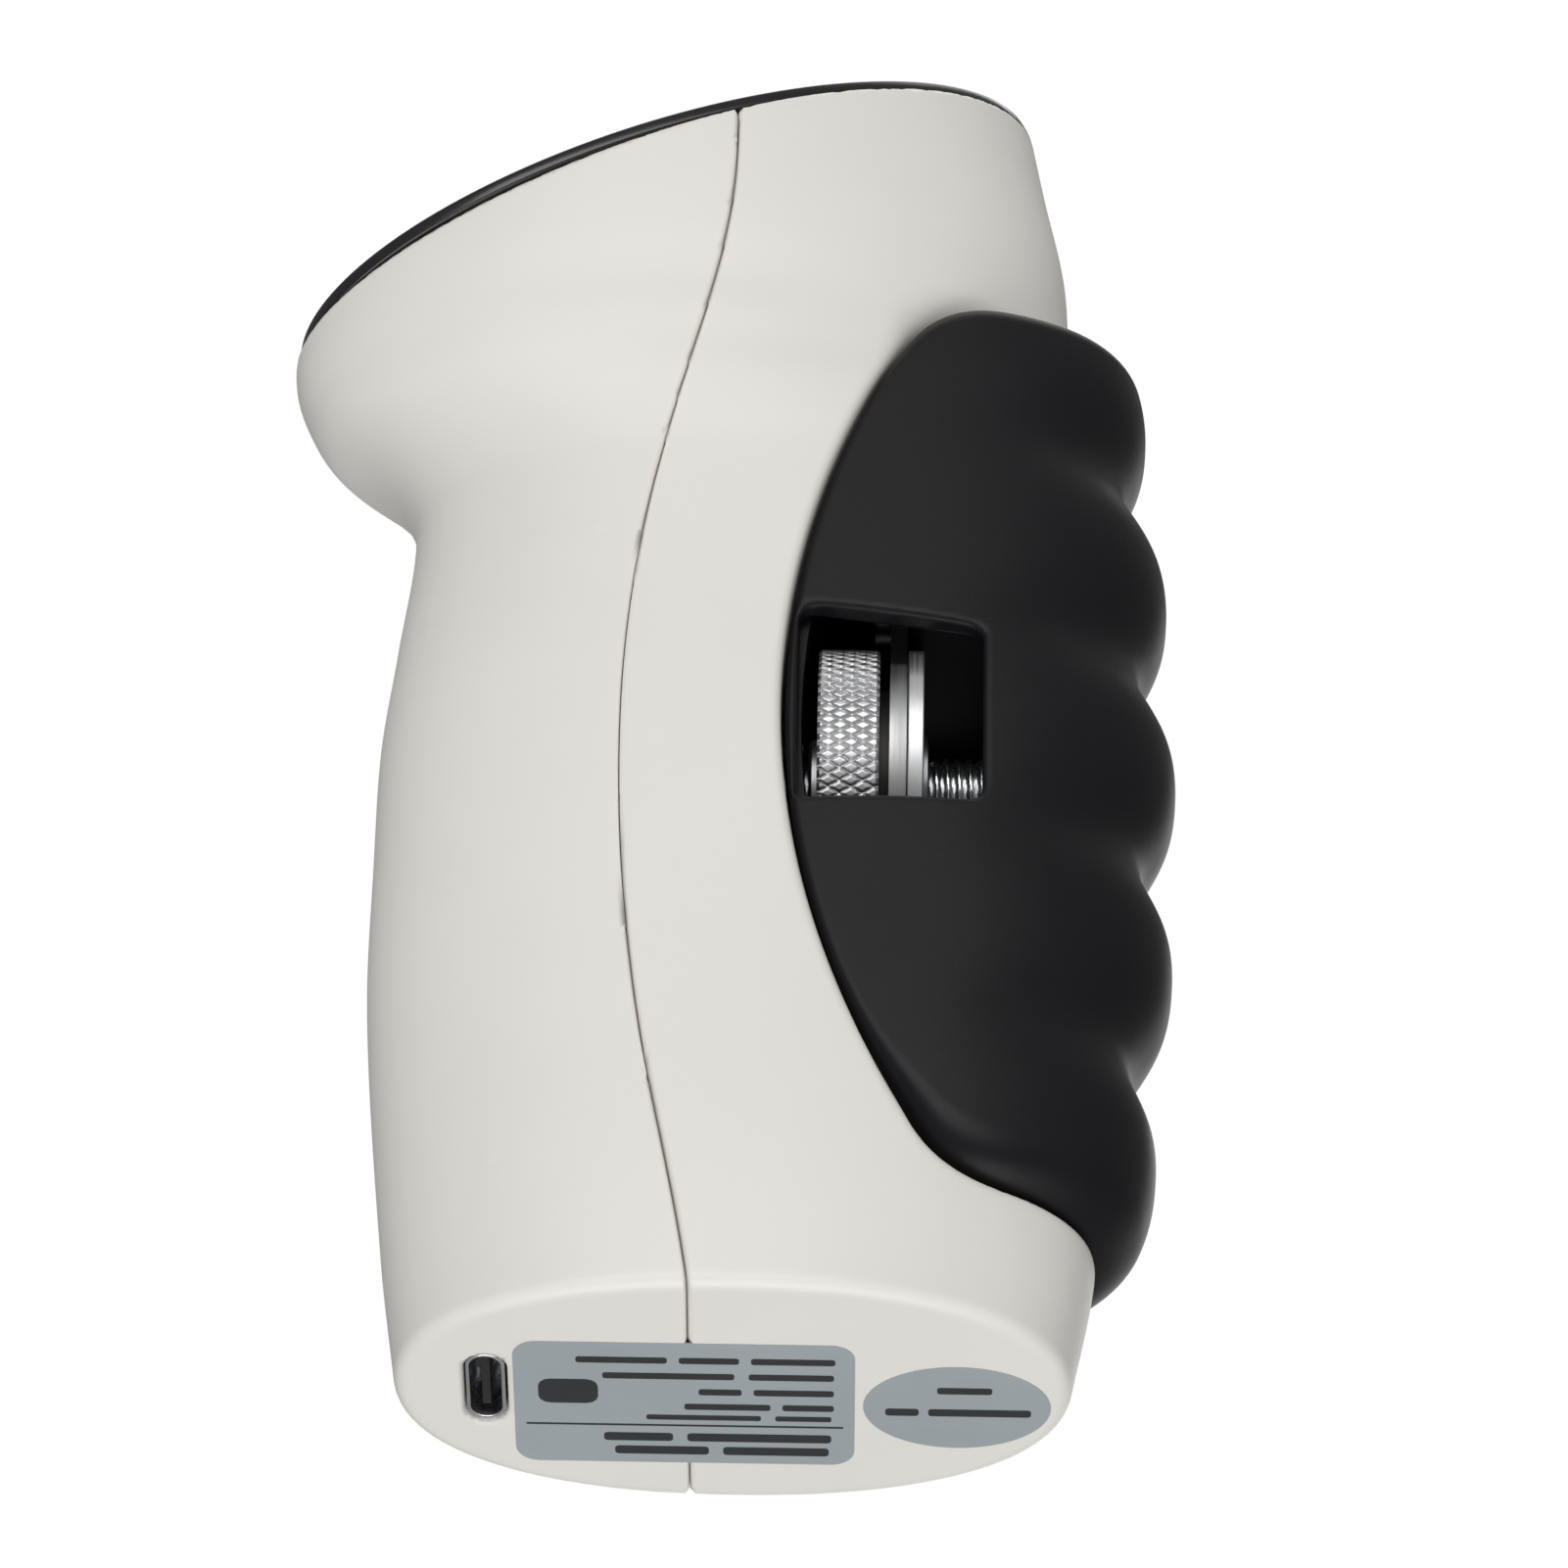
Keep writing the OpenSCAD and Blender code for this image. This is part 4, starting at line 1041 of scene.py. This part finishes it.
class DYNO_OT_labels(bpy.types.Operator):
    """Make the two labels on the base, with plain printed bars"""
    bl_idname = "dyno.labels"
    bl_label = "Labels"

    def execute(self, context):
        size, mid = LABEL_HIGH - LABEL_LOW, (LABEL_HIGH + LABEL_LOW) / 2
        outline = round_rect(size[0], size[1], 2.0, mid[0], mid[1])
        self.label("rating", outline, mid, RATING_ROWS)
        size, mid = CHECK_HIGH - CHECK_LOW, (CHECK_HIGH + CHECK_LOW) / 2
        outline = ellipse(size[0] / 2, size[1] / 2, 96, mid[0], mid[1])
        self.label("check", outline, mid, CHECK_ROWS)
        return {"FINISHED"}

    @staticmethod
    def label(name, outline, mid, rows):
        """Film with its print, standing a hair proud of the base."""
        film = 0.06
        stock = plate(f"{name}_film", [outline], -film, 0.1, 0.02)
        bars = [bar(mid[0] + x0, mid[1] + y - tall / 2, mid[0] + x1, mid[1] + y + tall / 2)
                for y, tall, words in rows for x0, x1 in words]
        ink = plate(f"{name}_ink", bars, -film - 0.02, -film + 0.02)
        sticker = join(f"{name}_sticker", [painted(stock, "label_grey"), painted(ink, "label_ink")])
        finish(sticker, "housing", "label_grey", f"{name}_label")


# Printed rows from the middle of each label: place across, bar height, ends of the bars along
RATING_ROWS = [(-6.1, 0.85, [(-9.0, -1.4), (-0.4, 4.6), (5.6, 12.6)]),
               (-3.9, 0.85, [(-6.8, 4.2), (5.4, 12.5)]),
               (-1.7, 0.85, [(1.2, 4.8), (5.8, 12.5)]),
               (0.4, 0.85, [(0.0, 7.2), (8.2, 12.5)]),
               (1.95, 0.7, [(-3.2, 6.4), (7.6, 12.3)]),
               (3.1, 0.25, [(-13.3, 13.3)]),
               (4.8, 1.15, [(-6.8, -1.0), (0.2, 12.3)]),
               (6.7, 1.15, [(-5.9, 2.0), (3.2, 12.1)]),
               (-1.6, 3.4, [(-12.2, -7.2)])]
CHECK_ROWS = [(-2.4, 0.9, [(-1.7, 2.9)]), (0.7, 1.0, [(-6.0, -3.2), (-2.4, 6.2)])]


class DYNO_OT_port(bpy.types.Operator):
    """Make the charging port's drawn steel shell"""
    bl_idname = "dyno.port"
    bl_label = "Charging port"

    def execute(self, context):
        mid = (PORT_LOW + PORT_HIGH) / 2
        size = PORT_HIGH - PORT_LOW
        outer = round_rect(size[0], size[1], size[0] / 2 - 0.01, mid[0], mid[1], 12)
        inner = round_rect(size[0] - 0.6, size[1] - 0.6, size[0] / 2 - 0.31, mid[0], mid[1], 12)
        tube = plate("port_tube", [outer, inner[::-1]], PORT_LOW[2], PORT_HIGH[2] - 0.4, 0.08)
        back = plate("port_back", [outer], PORT_HIGH[2] - 0.5, PORT_HIGH[2], 0.08)
        finish(join("port_shell", [tube, back]), "housing", "connector_steel", "usb_port_shell")
        return {"FINISHED"}


class DYNO_OT_grip(bpy.types.Operator):
    """Mesh the finger grip with its hollows and access window"""
    bl_idname = "dyno.grip"
    bl_label = "Finger grip"

    def execute(self, context):
        shape = form()
        piece = moulded("finger_grip", shape.grip, grip_grid(shape, mesh_step(shape.g.cell)))
        finish(piece, "grip", "grip_black", "grip_shell")
        return {"FINISHED"}


class DYNO_OT_wheel(bpy.types.Operator):
    """Turn the knurled wheel, with a groove for its circlip, and its ring"""
    bl_idname = "dyno.wheel"
    bl_label = "Wheel"

    def execute(self, context):
        w = mm(context.scene.dyno_wheel)
        knurls = context.scene.dyno_wheel.knurls
        radius = (WHEEL_HIGH[2] - WHEEL_LOW[2]) / 2
        hub = (CLIP_HIGH[2] - CLIP_LOW[2]) / 2 - 0.9
        bore = (STUD_HIGH[2] - STUD_LOW[2]) / 2 + 0.05
        x0, x1 = WHEEL_LOW[0] + 0.8, RING_LOW[0] - 2.5
        rim = [(x0, radius - 1.0), (x0, radius - w.chamfer)]
        rim += [(x, radius) for x in np.linspace(x0 + w.chamfer, x1 - w.chamfer, 56)]
        rim += [(x1, radius - w.chamfer), (x1, radius - 1.0)]
        side = [(WHEEL_LOW[0], bore + 0.3), (WHEEL_LOW[0], hub - 0.3), (WHEEL_LOW[0] + 0.3, hub), (x0, hub)]
        far = [(x1, hub), (CLIP_LOW[0], hub), (CLIP_LOW[0], hub - 0.6), (CLIP_HIGH[0], hub - 0.6),
               (CLIP_HIGH[0], hub), (WHEEL_HIGH[0] - 0.2, hub), (WHEEL_HIGH[0], hub - 0.2),
               (WHEEL_HIGH[0], bore)]
        profile = side + rim + far + [(WHEEL_LOW[0], bore)]

        def knurl(x, r, angle):
            along, around = (x - x0) / w.knurl_l, angle * knurls / (2 * math.pi)
            ridge = lambda t: np.abs((t % 1.0) - 0.5) * 2
            height = np.clip(np.minimum(ridge(along + around), ridge(along - around)) * 2.6, 0, 1)
            return np.where(r > radius - 0.01, (height - 1) * w.knurl_depth, 0)

        piece = turned("wheel", profile, knurls * 12, knurl)
        finish(piece, "wheel", "knurl_steel", "knurled_wheel")
        ease = w.chamfer * 0.4
        ring = [(RING_LOW[0], hub + 0.03), (RING_LOW[0], radius - ease), (RING_LOW[0] + ease, radius),
                (RING_HIGH[0] - ease, radius), (RING_HIGH[0], radius - ease), (RING_HIGH[0], hub + 0.03)]
        finish(turned("bright_ring", ring, 160), "wheel", "ring_steel", "thrust_ring")
        return {"FINISHED"}


class DYNO_OT_stud(bpy.types.Operator):
    """Cut the stud's helical thread"""
    bl_idname = "dyno.stud"
    bl_label = "Threaded stud"

    def execute(self, context):
        w = mm(context.scene.dyno_wheel)
        radius = (STUD_HIGH[2] - STUD_LOW[2]) / 2
        start, end = STUD_LOW[0] + 12, STUD_HIGH[0]
        thread = [(x, radius) for x in np.arange(start + 0.6, end - 0.7, w.pitch / 14)]
        profile = [(STUD_LOW[0], 0.01), (STUD_LOW[0], radius - 0.5), (STUD_LOW[0] + 0.5, radius)]
        profile += [(start, radius)] + thread + [(end - 0.6, radius - 0.35), (end, radius - 0.8), (end, 0.01)]
        ease = 1.2

        def cut(x, r, angle):
            inside = np.clip(np.minimum(x - start - 0.4, end - 0.5 - x) / ease, 0, 1)
            turn = (x / w.pitch - angle / (2 * math.pi)) % 1.0
            groove = np.clip(1.15 - np.abs(turn - 0.5) * 2.7, 0, 1)
            return np.where(r > radius - 0.01, -groove * w.thread_depth * inside, 0)

        piece = turned("stud", profile, 96, cut)
        finish(piece, "housing", "stud_steel", "threaded_stud")
        return {"FINISHED"}


# CAD pieces that keep their shape, with their finishes
KEPT = {
    "lcd_backlight": "diffuser_white", "display_flex": "flex_amber", "keypad_mat": "rubber_dark",
    "main_board": "board_green", "board_chips": "chip_black", "buzzer": "chip_black",
    "battery": "cell_foil", "battery_tray": "tray_black", "usb_tongue": "chip_black",
    "usb_board": "board_green", "load_cell": "cell_aluminium", "strain_gauges": "flex_amber",
    "gauge_flex": "flex_amber", "cell_bracket": "plate_steel", "cell_screws": "screw_steel",
    "bracket_screws": "screw_steel", "stud_lock_nut": "stud_steel", "stud_seal": "rubber_dark",
    "guide_bushes": "bronze", "housing_screws": "screw_steel", "grip_rear_cover": "grip_black",
    "grip_spine": "spine_dark", "grip_screws": "screw_steel", "guide_pins": "stud_steel",
    "pin_clips": "screw_steel", "thrust_washer": "washer_dark", "circlip": "screw_steel"}


class DYNO_OT_inner_pieces(bpy.types.Operator):
    """Give the inner pieces their finishes"""
    bl_idname = "dyno.inner_pieces"
    bl_label = "Inner pieces"

    def execute(self, context):
        for name, key in KEPT.items():
            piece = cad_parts[name]
            piece.data.materials.clear()
            crisp(painted(piece, key).data)
        return {"FINISHED"}


class DYNO_OT_stage(bpy.types.Operator):
    """Set the pale floor, the soft lights and the camera"""
    bl_idname = "dyno.stage"
    bl_label = "Stage"

    def execute(self, context):
        pale_floor()
        white_surround(context.scene)
        for name, place, size, power in LAMPS:
            soft_lamp(name, Vector(place), size, power)
        context.scene.camera = camera_below()
        context.scene.view_settings.view_transform = "Standard"
        return {"FINISHED"}


# Soft lamps: name, place in metres, width and power
LAMPS = [("key", (-0.1, -0.8, 0.3), 0.6, 4.25), ("fill", (0.5, -0.6, 0.1), 0.6, 0.2),
         ("under", (0.0, -0.16, -0.62), 0.6, 3.7), ("top", (0.0, 0.1, 0.9), 0.7, 2.4),
         ("behind", (0.2, 0.7, 0.3), 0.6, 1.5)]
AIM = Vector((3.0, 0.0, 66.5)) * MM


def soft_lamp(name, place, size, power):
    lamp = bpy.data.lights.new(name, "AREA")
    lamp.size = size
    lamp.energy = power
    holder = bpy.data.objects.new(name, lamp)
    holder.location = place
    holder.rotation_euler = (AIM - place).to_track_quat("-Z", "Y").to_euler()
    bpy.context.scene.collection.objects.link(holder)


def pale_floor():
    """Pale floor just under the base, clear when seen from below."""
    mesh = bpy.data.meshes.new("floor")
    size, low = 3.0, -0.0005
    mesh.from_pydata([(-size, -size, low), (size, -size, low), (size, size, low), (-size, size, low)], [],
                     [(0, 1, 2, 3)])
    floor = add("floor", mesh)
    material, tree, bsdf = shader("pale_floor")
    bsdf.inputs["Base Color"].default_value = shade(linear(240, 240, 238), 1.0)
    bsdf.inputs["Roughness"].default_value = 1.0
    bsdf.inputs["Specular IOR Level"].default_value = 0.0
    clear = tree.nodes.new("ShaderNodeBsdfTransparent")
    either = tree.nodes.new("ShaderNodeMixShader")
    link(tree, tree.nodes.new("ShaderNodeNewGeometry").outputs["Backfacing"], either.inputs[0])
    link(tree, bsdf.outputs[0], either.inputs[1])
    link(tree, clear.outputs[0], either.inputs[2])
    link(tree, either.outputs[0], tree.nodes["Material Output"].inputs["Surface"])
    mesh.materials.append(material)
    floor.visible_shadow = False
    floor.visible_diffuse = False
    floor.visible_glossy = False
    return floor


def white_surround(scene):
    """White to the camera, and softer as a light."""
    world = bpy.data.worlds.new("surround")
    scene.world = world
    world.use_nodes = True
    tree = world.node_tree
    tree.nodes.clear()
    seen = node(tree, "ShaderNodeBackground", Color=(1, 1, 1, 1), Strength=1.0)
    light = node(tree, "ShaderNodeBackground", Color=(0.98, 0.99, 1.0, 1), Strength=0.32)
    path = tree.nodes.new("ShaderNodeLightPath")
    either = tree.nodes.new("ShaderNodeMixShader")
    link(tree, path.outputs["Is Camera Ray"], either.inputs[0])
    link(tree, light.outputs[0], either.inputs[1])
    link(tree, seen.outputs[0], either.inputs[2])
    out = tree.nodes.new("ShaderNodeOutputWorld")
    link(tree, either.outputs[0], out.inputs[0])


def camera_below():
    """Long lens from 40 degrees below, turned 1 degree to the front and rolled 1.5 degrees."""
    down, turn, roll = math.radians(40), math.radians(1), math.radians(1.5)
    back = Vector((math.sin(turn) * math.cos(down), -math.cos(turn) * math.cos(down), -math.sin(down)))
    right = (-back).cross(Vector((0, 0, 1))).normalized()
    up = right.cross(-back)
    rolled_right = math.cos(roll) * right + math.sin(roll) * up
    rolled_up = math.cos(roll) * up - math.sin(roll) * right
    camera = bpy.data.cameras.new("camera")
    camera.lens = 185.3
    camera.sensor_width = 36.0
    camera.clip_start = 0.01
    holder = bpy.data.objects.new("camera", camera)
    turned_frame = Matrix((rolled_right, rolled_up, back)).transposed().to_4x4()
    holder.matrix_world = Matrix.Translation(AIM + back * 0.7165) @ turned_frame
    bpy.context.scene.collection.objects.link(holder)
    return holder


OPERATORS = [DYNO_OT_housing, DYNO_OT_display, DYNO_OT_buttons, DYNO_OT_labels, DYNO_OT_port, DYNO_OT_grip,
             DYNO_OT_wheel, DYNO_OT_stud, DYNO_OT_inner_pieces, DYNO_OT_stage]
GROUPS_OF_SIZES = {"dyno_housing": HousingSizes, "dyno_grip": GripSizes, "dyno_wheel": WheelSizes,
                   "dyno_display": DisplaySizes, "dyno_colours": FinishColours}


class DYNO_PT_panel(bpy.types.Panel):
    """Sizes, colours and build steps of the dynamometer"""
    bl_label = "Hand dynamometer"
    bl_idname = "DYNO_PT_panel"
    bl_space_type = "VIEW_3D"
    bl_region_type = "UI"
    bl_category = "Dynamometer"

    def draw(self, context):
        for attribute, kind in GROUPS_OF_SIZES.items():
            box = self.layout.box()
            for name in kind.__annotations__:
                box.prop(getattr(context.scene, attribute), name)
        for operator in OPERATORS:
            self.layout.operator(operator.bl_idname)


def register():
    for kind in list(GROUPS_OF_SIZES.values()) + OPERATORS + [DYNO_PT_panel]:
        bpy.utils.register_class(kind)
    for attribute, kind in GROUPS_OF_SIZES.items():
        setattr(bpy.types.Scene, attribute, PointerProperty(type=kind))


def unregister():
    for attribute in GROUPS_OF_SIZES:
        delattr(bpy.types.Scene, attribute)
    for kind in [DYNO_PT_panel] + OPERATORS[::-1] + list(GROUPS_OF_SIZES.values())[::-1]:
        bpy.utils.unregister_class(kind)


def main():
    register()
    for operator in OPERATORS:
        group_name, call = operator.bl_idname.split(".")
        getattr(getattr(bpy.ops, group_name), call)()


if __name__ == "__main__":
    main()
